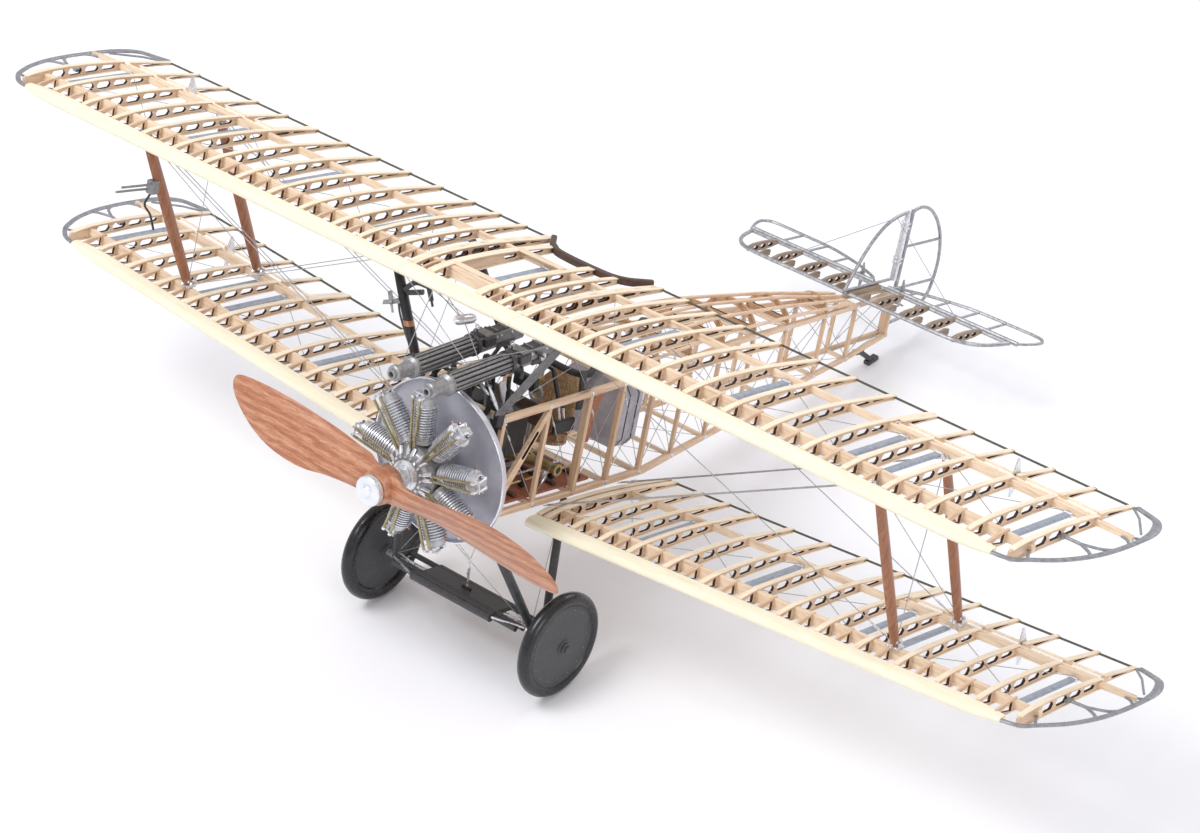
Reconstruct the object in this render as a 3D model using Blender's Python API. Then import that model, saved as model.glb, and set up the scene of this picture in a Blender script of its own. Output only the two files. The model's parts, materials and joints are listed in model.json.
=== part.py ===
"""Uncovered display model of a single-seat biplane with a rotary engine.

Lengths are in millimetres in the flying attitude, with the origin at the middle
of the upper wing's leading edge, +X to port, +Y aft and +Z up. Everything hangs
from one empty, which sets the model down on its wheels and tail skid.
"""

import bpy
import bmesh
from math import atan2, cos, pi, radians, sin, tan
from mathutils import Matrix, Vector

MM = 0.001
GROUND_ANGLE = radians(16.8)

# Wings
CHORD = 85.7
STAGGER = 38.0
LOWER_Z = -91.0
DIHEDRAL = radians(4.35)
DIHEDRAL_X = 26.5
ROOT_X = 28.3
LOWER_ROOT_X = 24.5
STRIP_END_X = 243.0
FRONT_SPAR_Y = 14.0
REAR_SPAR_Y = 56.0
HINGE_Y = 60.9
AILERON_X = (160.4, 247.4)
RIB_WIDTH = 1.2
INNER_RIBS = [28.95, 42.0, 56.0, 70.0]
RIB_PITCH = 17.8
OUTER_RIBS = [70.0 + RIB_PITCH * i for i in range(1, 11)]
SECTION_Y = [1.0, 12.0, 40.0, 66.0, 85.7]
SECTION_TOP = [1.0, 3.4, 3.9, 2.2, 0.1]
SECTION_BELOW = [-1.0, -1.4, -0.4, -0.2, -0.9]

# Thrust line
AXIS_POINT = Vector((0.0, -4.0, -70.3))
THRUST_TILT = radians(7.0)
CYLINDERS = 9
FIRST_CYLINDER = radians(11.8)
HEAD_RADIUS = 33.2
CASE_RADIUS = 11.2
BACKPLATE_RADIUS = 33.2
SHAFT_RADIUS = 2.5
RUNNING_GAP = 0.08
PROP_ANGLE = radians(-2.5)
PROP_FORWARD = 22.5
BLADE_BACK = 2.0
BLADE_RAKE = 0.03

# Fuselage
HALF_WIDTH = 20.5
TAIL_POST_Y = 302.0
TOP_RAIL = [(10.6, -45.3), (62.0, -43.8), (110.0, -42.2), (163.0, -41.6),
            (240.0, -45.2), (268.0, -46.4), (302.0, -46.4)]
LOW_RAIL = [(10.6, -86.0), (62.0, -86.2), (110.0, -86.0), (163.0, -81.2),
            (240.0, -73.2), (268.0, -71.2), (302.0, -67.0)]
FRAMES_Y = [14.0, 41.0, 65.0, 86.0, 107.0, 130.0, 155.0, 180.0, 207.0, 240.0, 267.0]

# Undercarriage
WHEEL = Vector((47.4, 40.0, -134.9))
WHEEL_RADIUS = 22.2
WHEEL_FACETS = 28
AXLE_RADIUS = 1.4
SKID_Y = 298.0

# Controls and tail
TAIL_Z = -42.0
TAIL_HINGE_Y = 291.4
RUDDER_Y = 303.9
COLUMN_Y = 58.0
SHAFT_Z = -80.2
RUDDER_BAR = Vector((0.0, 30.0, -78.0))

WOOD = (0.72, 0.53, 0.33, 1.0)
PALE = (0.82, 0.70, 0.50, 1.0)
MAHOGANY = (0.42, 0.17, 0.10, 1.0)
REDWOOD = (0.36, 0.16, 0.10, 1.0)
DARK = (0.06, 0.06, 0.065, 1.0)
GREY = (0.16, 0.16, 0.17, 1.0)
METAL = (0.60, 0.61, 0.63, 1.0)
BLUEGREY = (0.42, 0.45, 0.50, 1.0)
RUBBER = (0.015, 0.015, 0.017, 1.0)
WICKER = (0.50, 0.32, 0.17, 1.0)

for old in list(bpy.data.objects):
    bpy.data.objects.remove(old)

scene = bpy.context.scene
parts = bpy.data.collections.new("biplane_model")
helpers = bpy.data.collections.new("joined_pieces")
scene.collection.children.link(parts)
scene.collection.children.link(helpers)
helpers.hide_render = True

attitude = bpy.data.objects.new("attitude", None)
parts.objects.link(attitude)


def material(name, colour, metal, rough):
    mat = bpy.data.materials.new(name)
    mat.use_nodes = True
    shader = mat.node_tree.nodes["Principled BSDF"]
    shader.inputs["Base Color"].default_value = colour
    shader.inputs["Metallic"].default_value = metal
    shader.inputs["Roughness"].default_value = rough
    return mat


# Building blocks, each a list of closed solids in millimetres

def box(low, high):
    bm = bmesh.new()
    size = Vector(high) - Vector(low)
    middle = (Vector(high) + Vector(low)) / 2
    bmesh.ops.create_cube(bm, size=1.0, matrix=Matrix.Translation(middle)
                          @ Matrix.Diagonal((size.x, size.y, size.z, 1.0)))
    return bm


def facing(start, end, up=Vector((0.0, 0.0, 1.0))):
    """Matrix at the middle of start and end, with its Z along them and Y near up."""
    along = (Vector(end) - Vector(start)).normalized()
    side = Vector(up).cross(along)
    if side.length < 1e-6:
        side = Vector((1.0, 0.0, 0.0)).cross(along)
    side.normalize()
    over = along.cross(side)
    turn = Matrix((side, over, along)).transposed().to_4x4()
    return Matrix.Translation((Vector(end) + Vector(start)) / 2) @ turn


def bar(start, end, width, height, up=Vector((0.0, 0.0, 1.0))):
    bm = bmesh.new()
    length = (Vector(end) - Vector(start)).length
    bmesh.ops.create_cube(bm, size=1.0, matrix=facing(start, end, up)
                          @ Matrix.Diagonal((width, height, length, 1.0)))
    return bm


def rod(start, end, radius, sides=8, end_radius=None):
    bm = bmesh.new()
    length = (Vector(end) - Vector(start)).length
    last = radius if end_radius is None else end_radius
    bmesh.ops.create_cone(bm, cap_ends=True, cap_tris=False, segments=sides,
                          radius1=radius, radius2=last, depth=length,
                          matrix=facing(start, end))
    return bm


def loft(loops):
    """Closed skin through loops that hold the same number of points."""
    bm = bmesh.new()
    rings = [[bm.verts.new(p) for p in loop] for loop in loops]
    count = len(rings[0])
    for near, far in zip(rings, rings[1:]):
        for i in range(count):
            j = (i + 1) % count
            bm.faces.new((near[i], near[j], far[j], far[i]))
    bm.faces.new(rings[0])
    bm.faces.new(list(reversed(rings[-1])))
    bmesh.ops.recalc_face_normals(bm, faces=bm.faces)
    return bm


def path_bar(points, sections):
    """Rectangular bar along points, each with its own (width in X, height in Z)."""
    loops = []
    for (x, y, z), (width, height) in zip(points, sections):
        w, h = width / 2, height / 2
        loops.append([(x - w, y, z - h), (x + w, y, z - h),
                      (x + w, y, z + h), (x - w, y, z + h)])
    return loft(loops)


def ribbon(points, width, thick, flat=Vector((0.0, 0.0, 1.0)), closed=False):
    """Strip of rectangular section that follows points and lies across flat."""
    count = len(points)
    loops = []
    for i, point in enumerate(points):
        before = points[i - 1] if i or closed else points[i]
        after = points[(i + 1) % count] if i < count - 1 or closed else points[i]
        along = (Vector(after) - Vector(before)).normalized()
        side = along.cross(flat).normalized() * width / 2
        rise = Vector(flat) * thick / 2
        p = Vector(point)
        loops.append([p - side - rise, p + side - rise, p + side + rise, p - side + rise])
    if not closed:
        return loft(loops)
    bm = bmesh.new()
    rings = [[bm.verts.new(p) for p in loop] for loop in loops]
    for k in range(count):
        near, far = rings[k], rings[(k + 1) % count]
        for i in range(4):
            j = (i + 1) % 4
            bm.faces.new((near[i], near[j], far[j], far[i]))
    bmesh.ops.recalc_face_normals(bm, faces=bm.faces)
    return bm


def plate(outline, thick, matrix=Matrix()):
    """Outline in the local XY plane, thickened half to each side of it."""
    low = [matrix @ Vector((x, y, -thick / 2)) for x, y in outline]
    high = [matrix @ Vector((x, y, thick / 2)) for x, y in outline]
    return loft([low, high])


def turned(profile, sides, matrix, start=0.0):
    """Solid of revolution about local Z from (radius, height) points.

    A profile that starts and ends on the axis makes a solid, and any other
    makes a ring.
    """
    bm = bmesh.new()
    on_axis = profile[0][0] == 0.0 and profile[-1][0] == 0.0
    rim = profile[1:-1] if on_axis else profile
    rings = []
    for k in range(sides):
        a = start + 2 * pi * k / sides
        rings.append([bm.verts.new(matrix @ Vector((r * cos(a), r * sin(a), h)))
                      for r, h in rim])
    count = len(rim)
    for k in range(sides):
        near, far = rings[k], rings[(k + 1) % sides]
        for i in range(count - 1 if on_axis else count):
            j = (i + 1) % count
            bm.faces.new((near[i], far[i], far[j], near[j]))
    if on_axis:
        bm.faces.new([ring[0] for ring in rings])
        bm.faces.new([ring[-1] for ring in rings])
    bmesh.ops.recalc_face_normals(bm, faces=bm.faces)
    return bm


def along_y(point, tilt=0.0):
    """Matrix whose Z points forward (-Y) at point, tipped down by tilt."""
    return Matrix.Translation(point) @ Matrix.Rotation(radians(90.0) + tilt, 4, "X")


def to_object(name, bm, collection, origin):
    bm.normal_update()
    mesh = bpy.data.meshes.new(name)
    shift = Matrix.Diagonal((MM, MM, MM, 1.0)) @ Matrix.Translation(-Vector(origin))
    bmesh.ops.transform(bm, matrix=shift, verts=bm.verts)
    bmesh.ops.recalc_face_normals(bm, faces=bm.faces)
    bm.to_mesh(mesh)
    bm.free()
    obj = bpy.data.objects.new(name, mesh)
    collection.objects.link(obj)
    obj.parent = attitude
    obj.location = Vector(origin) * MM
    return obj


def node(name, solids, look, origin=(0.0, 0.0, 0.0)):
    """One named piece from overlapping solids, with its origin at origin."""
    obj = to_object(name, solids[0], parts, origin)
    colour, metal, rough = look
    obj.data.materials.append(material(name, colour, metal, rough))
    if len(solids) > 1:
        group = bpy.data.collections.new(name + "_joined")
        helpers.children.link(group)
        for i, solid in enumerate(solids[1:]):
            extra = to_object(f"{name}_piece_{i}", solid, group, (0.0, 0.0, 0.0))
            extra.hide_render = True
            extra.display_type = "WIRE"
        join = obj.modifiers.new("join", "BOOLEAN")
        join.operation = "UNION"
        join.operand_type = "COLLECTION"
        join.collection = group
        join.solver = "EXACT"
    return obj


WOOD_LOOK = (WOOD, 0.0, 0.6)
PALE_LOOK = (PALE, 0.0, 0.55)
METAL_LOOK = (METAL, 1.0, 0.35)
DARK_LOOK = (DARK, 0.0, 0.45)
GREY_LOOK = (GREY, 0.3, 0.45)
RED_LOOK = (REDWOOD, 0.0, 0.45)

# Wings: ribs on two spars between a rounded leading strip and a thin rear rod


def at(values, y):
    for (y0, a), (y1, b) in zip(list(zip(SECTION_Y, values)), list(zip(SECTION_Y, values))[1:]):
        if y <= y1:
            return a + (b - a) * (y - y0) / (y1 - y0)
    return values[-1]


def rib(x, y0, y1, place):
    inside = [y0] + [y for y in SECTION_Y if y0 + 0.5 < y < y1 - 0.5] + [y1]
    top = [(y, at(SECTION_TOP, y)) for y in inside]
    low = [(y, at(SECTION_BELOW, y)) for y in reversed(inside)]
    loops = [[place @ Vector((x + side * RIB_WIDTH / 2, y, z)) for y, z in top + low]
             for side in (-1, 1)]
    return loft(loops)


def strip(x0, x1, place, taper):
    """Rounded leading strip, which thins towards the tip when it tapers."""
    section = [(3.6, -1.7), (-1.6, -2.1), (-3.9, -0.7), (-3.9, 0.7), (-1.6, 2.1), (3.6, 2.3)]
    stops = [(x0, 1.0), (x1 - 18.0, 1.0), (x1, 0.45)] if taper else [(x0, 1.0), (x1, 1.0)]
    return loft([[place @ Vector((x, y * k + (1.0 - k) * 1.5, z * k)) for y, z in section]
                 for x, k in stops])


def spar(y, x0, x1, width, place):
    low = at(SECTION_BELOW, y) + 0.25
    high = at(SECTION_TOP, y) - 0.35
    loops = []
    for x, k in ((x0, 1.0), (230.2, 1.0), (x1, 0.6)) if x1 > 240 else ((x0, 1.0), (x1, 1.0)):
        middle = (low + high) / 2
        half = (high - low) / 2 * k
        loops.append([place @ Vector((x, y - width / 2, middle - half)),
                      place @ Vector((x, y + width / 2, middle - half)),
                      place @ Vector((x, y + width / 2, middle + half)),
                      place @ Vector((x, y - width / 2, middle + half))])
    return loft(loops)


def placed_rod(start, end, radius, sides, place):
    return rod(place @ Vector(start), place @ Vector(end), radius, sides)


BOW = [(243.6, -0.6), (249.5, 1.6), (254.4, 5.4), (258.0, 11.5), (261.4, 19.0),
       (264.6, 31.0), (266.1, 44.0), (266.2, 58.0), (265.0, 70.0), (260.5, 79.5),
       (254.0, 84.2), (248.9, 85.4)]

for level in ("upper", "lower"):
    for side, sign in (("port", 1), ("starboard", -1)):
        mirror = Matrix.Diagonal((sign, 1.0, 1.0, 1.0))
        if level == "upper":
            place = mirror
            root = ROOT_X
        else:
            lift = Matrix.Rotation(-DIHEDRAL, 4, "Y")
            pivot = Matrix.Translation((DIHEDRAL_X, STAGGER, LOWER_Z))
            place = mirror @ pivot @ lift @ Matrix.Translation((-DIHEDRAL_X, 0.0, 0.0))
            root = LOWER_ROOT_X
        ribs = list(INNER_RIBS) + OUTER_RIBS
        solids = [strip(root, STRIP_END_X, place, True)]
        solids.append(spar(FRONT_SPAR_Y, root, 256.8, 2.2, place))
        solids.append(spar(REAR_SPAR_Y, root, 264.2, 2.0, place))
        for x in ribs:
            solids.append(rib(x, 2.6 if x > STRIP_END_X else 1.0,
                              58.9 if x > AILERON_X[0] else CHORD, place))
        if level == "lower":
            solids.append(rib(root + 0.7, 1.0, CHORD, place))
        solids.append(placed_rod((root + 0.05, CHORD, -0.4), (159.5, CHORD, -0.4), 0.7, 4, place))
        node(f"{level}_wing_{side}", solids, WOOD_LOOK)

        bow = [place @ Vector((x, y, at(SECTION_BELOW, max(y, 1.0)) + 1.2 if 1 < y < 84 else 0.0))
               for x, y in BOW]
        node(f"{level}_tip_bow_{side}", [ribbon(bow, 1.0, 1.4)], METAL_LOOK)

        x0, x1 = AILERON_X
        mid = (at(SECTION_TOP, HINGE_Y) + at(SECTION_BELOW, HINGE_Y)) / 2
        pieces = [placed_rod((x0, HINGE_Y, mid), (x1, HINGE_Y, mid), 1.15, 8, place)]
        for x in [x0 + 0.7, 176.8, 194.6, 212.4, 230.2, x1 - 0.7]:
            pieces.append(rib(x, HINGE_Y + 0.4, CHORD, place))
        pieces.append(placed_rod((x0 + 0.1, CHORD, -0.4), (x1 - 0.1, CHORD, -0.4), 0.7, 4, place))
        node(f"{level}_aileron_{side}", pieces, WOOD_LOOK,
             place @ Vector(((x0 + x1) / 2, HINGE_Y, mid)))

centre = [strip(-27.95, 27.95, Matrix(), False)]
centre.append(spar(FRONT_SPAR_Y, -27.95, 27.95, 2.2, Matrix()))
centre.append(spar(REAR_SPAR_Y, -27.95, 27.95, 2.0, Matrix()))
for x, last in ((-27.3, 84.0), (-14.0, 70.6), (14.0, 70.6), (27.3, 84.0)):
    centre.append(rib(x, 1.0, last, Matrix()))
node("upper_centre_section", centre, WOOD_LOOK)

cutout = [(-25.2, 83.6), (-22.8, 80.0), (-19.4, 75.4), (-14.0, 72.6), (0.0, 72.0),
          (14.0, 72.6), (19.4, 75.4), (22.8, 80.0), (25.2, 83.6)]
node("cutout_trim", [ribbon([Vector((x, y, 0.6)) for x, y in cutout], 1.8, 1.8)],
     ((0.12, 0.07, 0.05, 1.0), 0.0, 0.5))

# Struts between the wings, of streamline section


def streamlined(start, end, chord, thick, ends):
    """Strut with its long section along Y, thinning to the share ends at each end."""
    start, end = Vector(start), Vector(end)
    section = [(-0.5, 0.0), (-0.3, 0.42), (0.1, 0.5), (0.5, 0.12),
               (0.5, -0.12), (0.1, -0.5), (-0.3, -0.42)]
    loops = []
    for share, k in ((0.0, ends), (0.12, 0.85), (0.5, 1.0), (0.88, 0.85), (1.0, ends)):
        middle = start.lerp(end, share)
        loops.append([middle + Vector((b * thick * k, a * chord * k, 0.0)) for a, b in section])
    return loft(loops)


STRUT_X = 186.0
lower_at = LOWER_Z + (STRUT_X - DIHEDRAL_X) * tan(DIHEDRAL)
for side, sign in (("port", 1), ("starboard", -1)):
    for name, y in (("front", FRONT_SPAR_Y), ("rear", REAR_SPAR_Y)):
        foot = (sign * STRUT_X, y + STAGGER, lower_at + at(SECTION_TOP, y) + 0.5)
        head = (sign * STRUT_X, y, at(SECTION_BELOW, y) - 0.6)
        node(f"interplane_strut_{name}_{side}", [streamlined(foot, head, 6.4, 2.9, 0.6)],
             RED_LOOK)
    for name, foot, head in (("front", (20.6, 10.4, -42.6), (44.4, 12.4, -2.2)),
                             ("rear", (20.6, 62.6, -41.2), (44.4, 56.4, -1.6))):
        a = Vector((sign * foot[0], foot[1], foot[2]))
        b = Vector((sign * head[0], head[1], head[2]))
        node(f"cabane_strut_{name}_{side}", [streamlined(a, b, 5.6, 3.4, 0.75)], DARK_LOOK)

# Fuselage frame: four rails, joined by a ring at each station


def rail_z(rail, y):
    for (y0, a), (y1, b) in zip(rail, rail[1:]):
        if y <= y1:
            return a + (b - a) * (y - y0) / (y1 - y0)
    return rail[-1][1]


def half_width(y):
    if y <= 110.0:
        return HALF_WIDTH
    return HALF_WIDTH + (1.6 - HALF_WIDTH) * (y - 110.0) / (TAIL_POST_Y - 110.0)


frame_solids = []
for rail in (TOP_RAIL, LOW_RAIL):
    for sign in (1, -1):
        points = [(sign * half_width(y), y, z) for y, z in rail]
        sizes = [(2.6 - 0.7 * max(0.0, y - 110.0) / 192.0,) * 2 for y, z in rail]
        frame_solids.append(path_bar(points, sizes))
for y in FRAMES_Y:
    w = half_width(y)
    top, low = rail_z(TOP_RAIL, y), rail_z(LOW_RAIL, y)
    thick = 2.1 if y < 120 else 1.6
    ring = [Vector((-w, y, low)), Vector((w, y, low)), Vector((w, y, top)), Vector((-w, y, top))]
    for i in range(4):
        start, end = ring[i], ring[(i + 1) % 4]
        frame_solids.append(bar(start, end, thick, thick, Vector((0.0, 1.0, 0.0))))
post_low = rail_z(LOW_RAIL, TAIL_POST_Y) - 0.6
frame_solids.append(box((-2.4, 300.2, post_low), (2.4, 302.2, rail_z(TOP_RAIL, TAIL_POST_Y) + 0.6)))
node("fuselage_frame", frame_solids, PALE_LOOK)

# Rear decking: plywood formers under lengthwise stringers
DECK_TOP = [(86.0, -29.0), (107.0, -27.4), (130.0, -26.6), (155.0, -27.6), (180.0, -30.4),
            (207.0, -33.6), (240.0, -37.4)]
deck_solids = []
for y, top in DECK_TOP:
    base = rail_z(TOP_RAIL, y) + 1.9
    w = half_width(y) - 0.6
    rise = top - base
    arch = [(w * cos(a), y, base + rise * sin(a)) for a in [pi * k / 5 for k in range(6)]]
    loops = [[Vector((x, y + d, z)) for x, _, z in arch] for d in (-0.6, 0.6)]
    deck_solids.append(loft(loops))
for share in (0.0, 0.33, 0.67, 1.0):
    a = radians(22.0 + 136.0 * share)
    line = []
    for y, top in [(84.6, -29.1)] + DECK_TOP[1:-1] + [(247.0, -38.4)]:
        base = rail_z(TOP_RAIL, y) + 1.9
        w = half_width(y) - 0.6
        line.append((w * cos(a) * 0.98, y, base + (top - base) * sin(a) * 0.98))
    deck_solids.append(path_bar(line, [(1.4, 1.4)] * len(line)))
node("turtle_deck", deck_solids, WOOD_LOOK)

node("cockpit_floor", [box((-18.6, 16.0, -84.2), (18.6, 78.0, -83.2))], RED_LOOK)

# Engine bay
thrust = along_y(AXIS_POINT, THRUST_TILT)
backplate = turned([(SHAFT_RADIUS + 0.35, -12.3), (BACKPLATE_RADIUS - 1.2, -12.3),
                    (BACKPLATE_RADIUS, -11.2), (BACKPLATE_RADIUS, -9.4),
                    (BACKPLATE_RADIUS - 0.9, -9.4), (BACKPLATE_RADIUS - 1.8, -11.1),
                    (SHAFT_RADIUS + 0.35, -11.1)], 32, thrust)
node("engine_backplate", [backplate], METAL_LOOK)
node("crankshaft", [turned([(0.0, -16.5), (SHAFT_RADIUS + 2.0, -16.5),
                            (SHAFT_RADIUS + 2.0, -12.6), (SHAFT_RADIUS, -12.6),
                            (SHAFT_RADIUS, 0.0), (0.0, 0.0)], 24, thrust)], METAL_LOOK)

# Rotating engine
crank_solids = [turned([(SHAFT_RADIUS + RUNNING_GAP, -8.6), (7.0, -8.6), (9.5, -6.6),
                        (CASE_RADIUS, -5.2), (CASE_RADIUS, 5.2), (8.2, 7.4), (5.2, 9.0),
                        (4.6, 15.6), (0.6, 15.6), (0.6, 2.0),
                        (SHAFT_RADIUS + RUNNING_GAP, 2.0)], 24, thrust)]
node("crankcase", crank_solids, METAL_LOOK, AXIS_POINT)

for i in range(CYLINDERS):
    turn = Matrix.Rotation(FIRST_CYLINDER + 2 * pi * i / CYLINDERS, 4, "Z")
    out = thrust @ turn @ Matrix.Rotation(radians(90.0), 4, "Y")
    barrel = turned([(0.0, 11.7), (3.4, 11.7), (3.4, 14.4), (4.6, 15.4), (4.6, 27.4),
                     (3.4, 28.4), (3.2, HEAD_RADIUS), (0.0, HEAD_RADIUS)], 10, out)
    node(f"cylinder_{i + 1}", [barrel], METAL_LOOK, AXIS_POINT)

# Propeller: twisted blades of lens section round a thick boss


def blade_loop(r, chord, thick, pitch, lead):
    """Section at radius r: chord, greatest thickness, blade angle and sweep; the tips lean aft."""
    section = [(-0.5, 0.0), (-0.3, 0.32), (0.05, 0.5), (0.35, 0.3),
               (0.5, 0.0), (0.3, -0.3), (-0.1, -0.4), (-0.35, -0.25)]
    turn = Matrix.Rotation(pitch, 4, "X")
    back = Vector((0.0, 0.0, -BLADE_BACK - BLADE_RAKE * r))
    return [turn @ Vector((r, a * chord + lead, b * thick)) + back for a, b in section]


BLADE = [(-2.6, 13.0, 7.0, 0.0, 0.0), (6.0, 13.4, 7.3, 10.0, -0.3),
         (12.0, 14.4, 8.4, 33.0, -0.5), (18.0, 15.4, 6.5, 36.0, -0.3),
         (27.0, 17.5, 4.4, 34.0, 0.0), (38.0, 20.5, 3.2, 30.0, 0.9),
         (50.0, 21.4, 2.4, 25.5, 1.0), (60.0, 20.4, 2.0, 22.5, 0.6),
         (68.0, 18.0, 1.7, 20.5, -0.3), (74.0, 15.2, 1.5, 19.0, -1.3),
         (79.0, 12.0, 1.3, 18.0, -2.4), (82.6, 8.6, 1.1, 17.0, -3.4),
         (84.7, 5.4, 0.9, 16.5, -4.1), (85.5, 3.0, 0.7, 16.0, -4.3)]
prop_at = thrust @ Matrix.Translation((0.0, 0.0, PROP_FORWARD)) @ Matrix.Rotation(PROP_ANGLE, 4, "Z")
half = [[prop_at @ p for p in blade_loop(r, c, t, radians(g), s)] for r, c, t, g, s in BLADE]
flip = prop_at @ Matrix.Rotation(pi, 4, "Z") @ prop_at.inverted()
blades = [loft(half), loft([[flip @ p for p in loop] for loop in half])]
boss = turned([(0.0, -6.2), (6.8, -6.2), (6.8, 3.9), (0.0, 3.9)], 20, prop_at)
node("propeller", [boss] + blades, (MAHOGANY, 0.0, 0.35), AXIS_POINT)
hub = turned([(0.0, 4.2), (5.4, 4.2), (5.7, 4.6), (5.7, 6.6), (5.0, 7.2), (2.0, 7.2),
              (1.6, 8.2), (0.0, 8.2)], 20, prop_at)
node("propeller_hub", [hub], METAL_LOOK, AXIS_POINT)

# Cockpit
seat_back = ribbon([Vector((x, 76.4 - 0.030 * x * x, -58.0)) for x in (-9.5, -6, 0, 6, 9.5)],
                   1.4, 27.0)
seat_pan = box((-9.0, 62.6, -72.0), (9.0, 76.0, -70.2))
node("seat", [seat_pan, seat_back], (WICKER, 0.0, 0.8))

ring = []
for k in range(16):
    a = 2 * pi * k / 16
    ring.append(Vector((13.8 * cos(a), 70.4 + 11.6 * sin(a), -36.0 - 3.4 * cos(a) ** 2)))
coaming = bmesh.new()
rings = []
for k, p in enumerate(ring):
    out = Vector((cos(2 * pi * k / 16), sin(2 * pi * k / 16), 0.0))
    rings.append([coaming.verts.new(p + out * 1.35 * cos(b) + Vector((0, 0, 1.35)) * sin(b))
                  for b in [2 * pi * m / 6 for m in range(6)]])
for k in range(16):
    near, far = rings[k], rings[(k + 1) % 16]
    for i in range(6):
        coaming.faces.new((near[i], near[(i + 1) % 6], far[(i + 1) % 6], far[i]))
node("coaming", [coaming], DARK_LOOK)

tank = plate([(-16.0, -72.0), (-13.0, -76.5), (13.0, -76.5), (16.0, -72.0), (16.0, -53.0),
              (12.0, -48.0), (-12.0, -48.0), (-16.0, -53.0)], 13.0,
             Matrix.Translation((0.0, 101.2, 0.0)) @ Matrix.Rotation(radians(90.0), 4, "X"))
node("fuel_tank", [tank], (BLUEGREY, 0.4, 0.4))

gun_slope = atan2(3.5, 36.0)
for side, sign in (("port", 1), ("starboard", -1)):
    at_gun = along_y(Vector((sign * 9.0, -14.0, -31.5)), gun_slope)
    jacket = turned([(0.0, -38.5), (3.8, -38.5), (4.0, -37.0), (4.0, 0.0), (3.0, 0.6),
                     (2.0, 3.8), (3.2, 4.4), (3.2, 6.6), (0.0, 6.6)], 10, at_gun)
    receiver = at_gun @ Matrix.Translation((0.0, 1.0, -52.0)) @ Matrix.Diagonal((6.4, 8.0, 30.0, 1))
    casing = bmesh.new()
    bmesh.ops.create_cube(casing, size=1.0, matrix=receiver)
    node(f"gun_{side}", [jacket, casing], GREY_LOOK)

pivot = Vector((0.0, COLUMN_Y, SHAFT_Z))
node("rocking_shaft", [rod((0.0, 42.0, SHAFT_Z), (0.0, 60.0, SHAFT_Z), 1.2, 10)], GREY_LOOK,
     Vector((0.0, 51.0, SHAFT_Z)))
grip = turned([(2.2, -0.55), (3.4, -0.55), (3.4, 0.55), (2.2, 0.55)], 14,
              Matrix.Translation((0.0, COLUMN_Y, -50.6)) @ Matrix.Rotation(radians(90.0), 4, "X"))
node("control_column", [rod((0.0, COLUMN_Y, SHAFT_Z + 1.5), (0.0, COLUMN_Y, -53.0), 0.9, 8), grip],
     GREY_LOOK, pivot)
node("rudder_bar", [box((-13.0, 29.0, -78.8), (13.0, 31.0, -77.2)),
                    box((-12.6, 27.4, -78.2), (-9.0, 32.6, -76.4)),
                    box((9.0, 27.4, -78.2), (12.6, 32.6, -76.4)),
                    rod((0.0, 30.0, -82.8), (0.0, 30.0, -76.4), 1.4, 10)],
     GREY_LOOK, RUDDER_BAR)

# Tail
TAIL_EDGE = [(0.0, 265.6), (46.0, 265.6), (56.0, 266.4), (62.6, 269.8), (67.4, 276.8),
             (70.4, 287.0)]
port_edge = [Vector((x, y, TAIL_Z)) for x, y in TAIL_EDGE]
both = [Vector((-p.x, p.y, p.z)) for p in reversed(port_edge[1:])] + port_edge
tail = [ribbon(both, 1.8, 1.8)]
tail.append(box((-71.2, 287.2, TAIL_Z - 1.0), (71.2, 289.4, TAIL_Z + 1.0)))
for x in (-56.0, -42.0, -28.0, -14.0, 14.0, 28.0, 42.0, 56.0):
    tail.append(box((x - 0.6, 266.0, TAIL_Z - 1.2), (x + 0.6, 288.0, TAIL_Z + 1.2)))
tail.append(box((-2.2, 265.0, TAIL_Z - 0.9), (2.2, 288.2, TAIL_Z + 0.9)))
node("tailplane", tail, WOOD_LOOK)

ELEVATOR = [(4.4, TAIL_HINGE_Y), (7.6, 295.8), (22.0, 303.0), (39.0, 308.0), (60.0, 308.9),
            (75.0, 308.4), (77.2, 303.0), (75.2, 296.0), (72.6, TAIL_HINGE_Y)]
for side, sign in (("port", 1), ("starboard", -1)):
    hinge = [Vector((sign * x, TAIL_HINGE_Y, TAIL_Z)) for x in (4.0, 73.2)]
    pieces = [rod(hinge[0], hinge[1], 1.1, 8)]
    pieces.append(ribbon([Vector((sign * x, y, TAIL_Z)) for x, y in ELEVATOR], 1.3, 1.1))
    for x, last in ((14.0, 299.2), (28.0, 305.0), (42.0, 308.2), (56.0, 308.9)):
        pieces.append(bar((sign * x, TAIL_HINGE_Y, TAIL_Z), (sign * x, last, TAIL_Z), 1.0, 0.8))
    node(f"elevator_{side}", pieces, METAL_LOOK, Vector((sign * 38.0, TAIL_HINGE_Y, TAIL_Z)))

across = Vector((1.0, 0.0, 0.0))
fin_edge = [(262.6, -40.2), (271.0, -26.5), (277.0, -19.0), (284.0, -13.6), (300.4, -8.8)]
fin = [ribbon([Vector((0.0, y, z)) for y, z in fin_edge], 1.4, 1.2, across)]
fin.append(box((-0.8, 299.4, -40.4), (0.8, 301.2, -8.6)))
fin.append(box((-0.7, 262.2, -40.4), (0.7, 301.0, -39.0)))
fin.append(box((-0.5, 268.0, -26.6), (0.5, 300.0, -25.6)))
node("fin", fin, METAL_LOOK)

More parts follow.
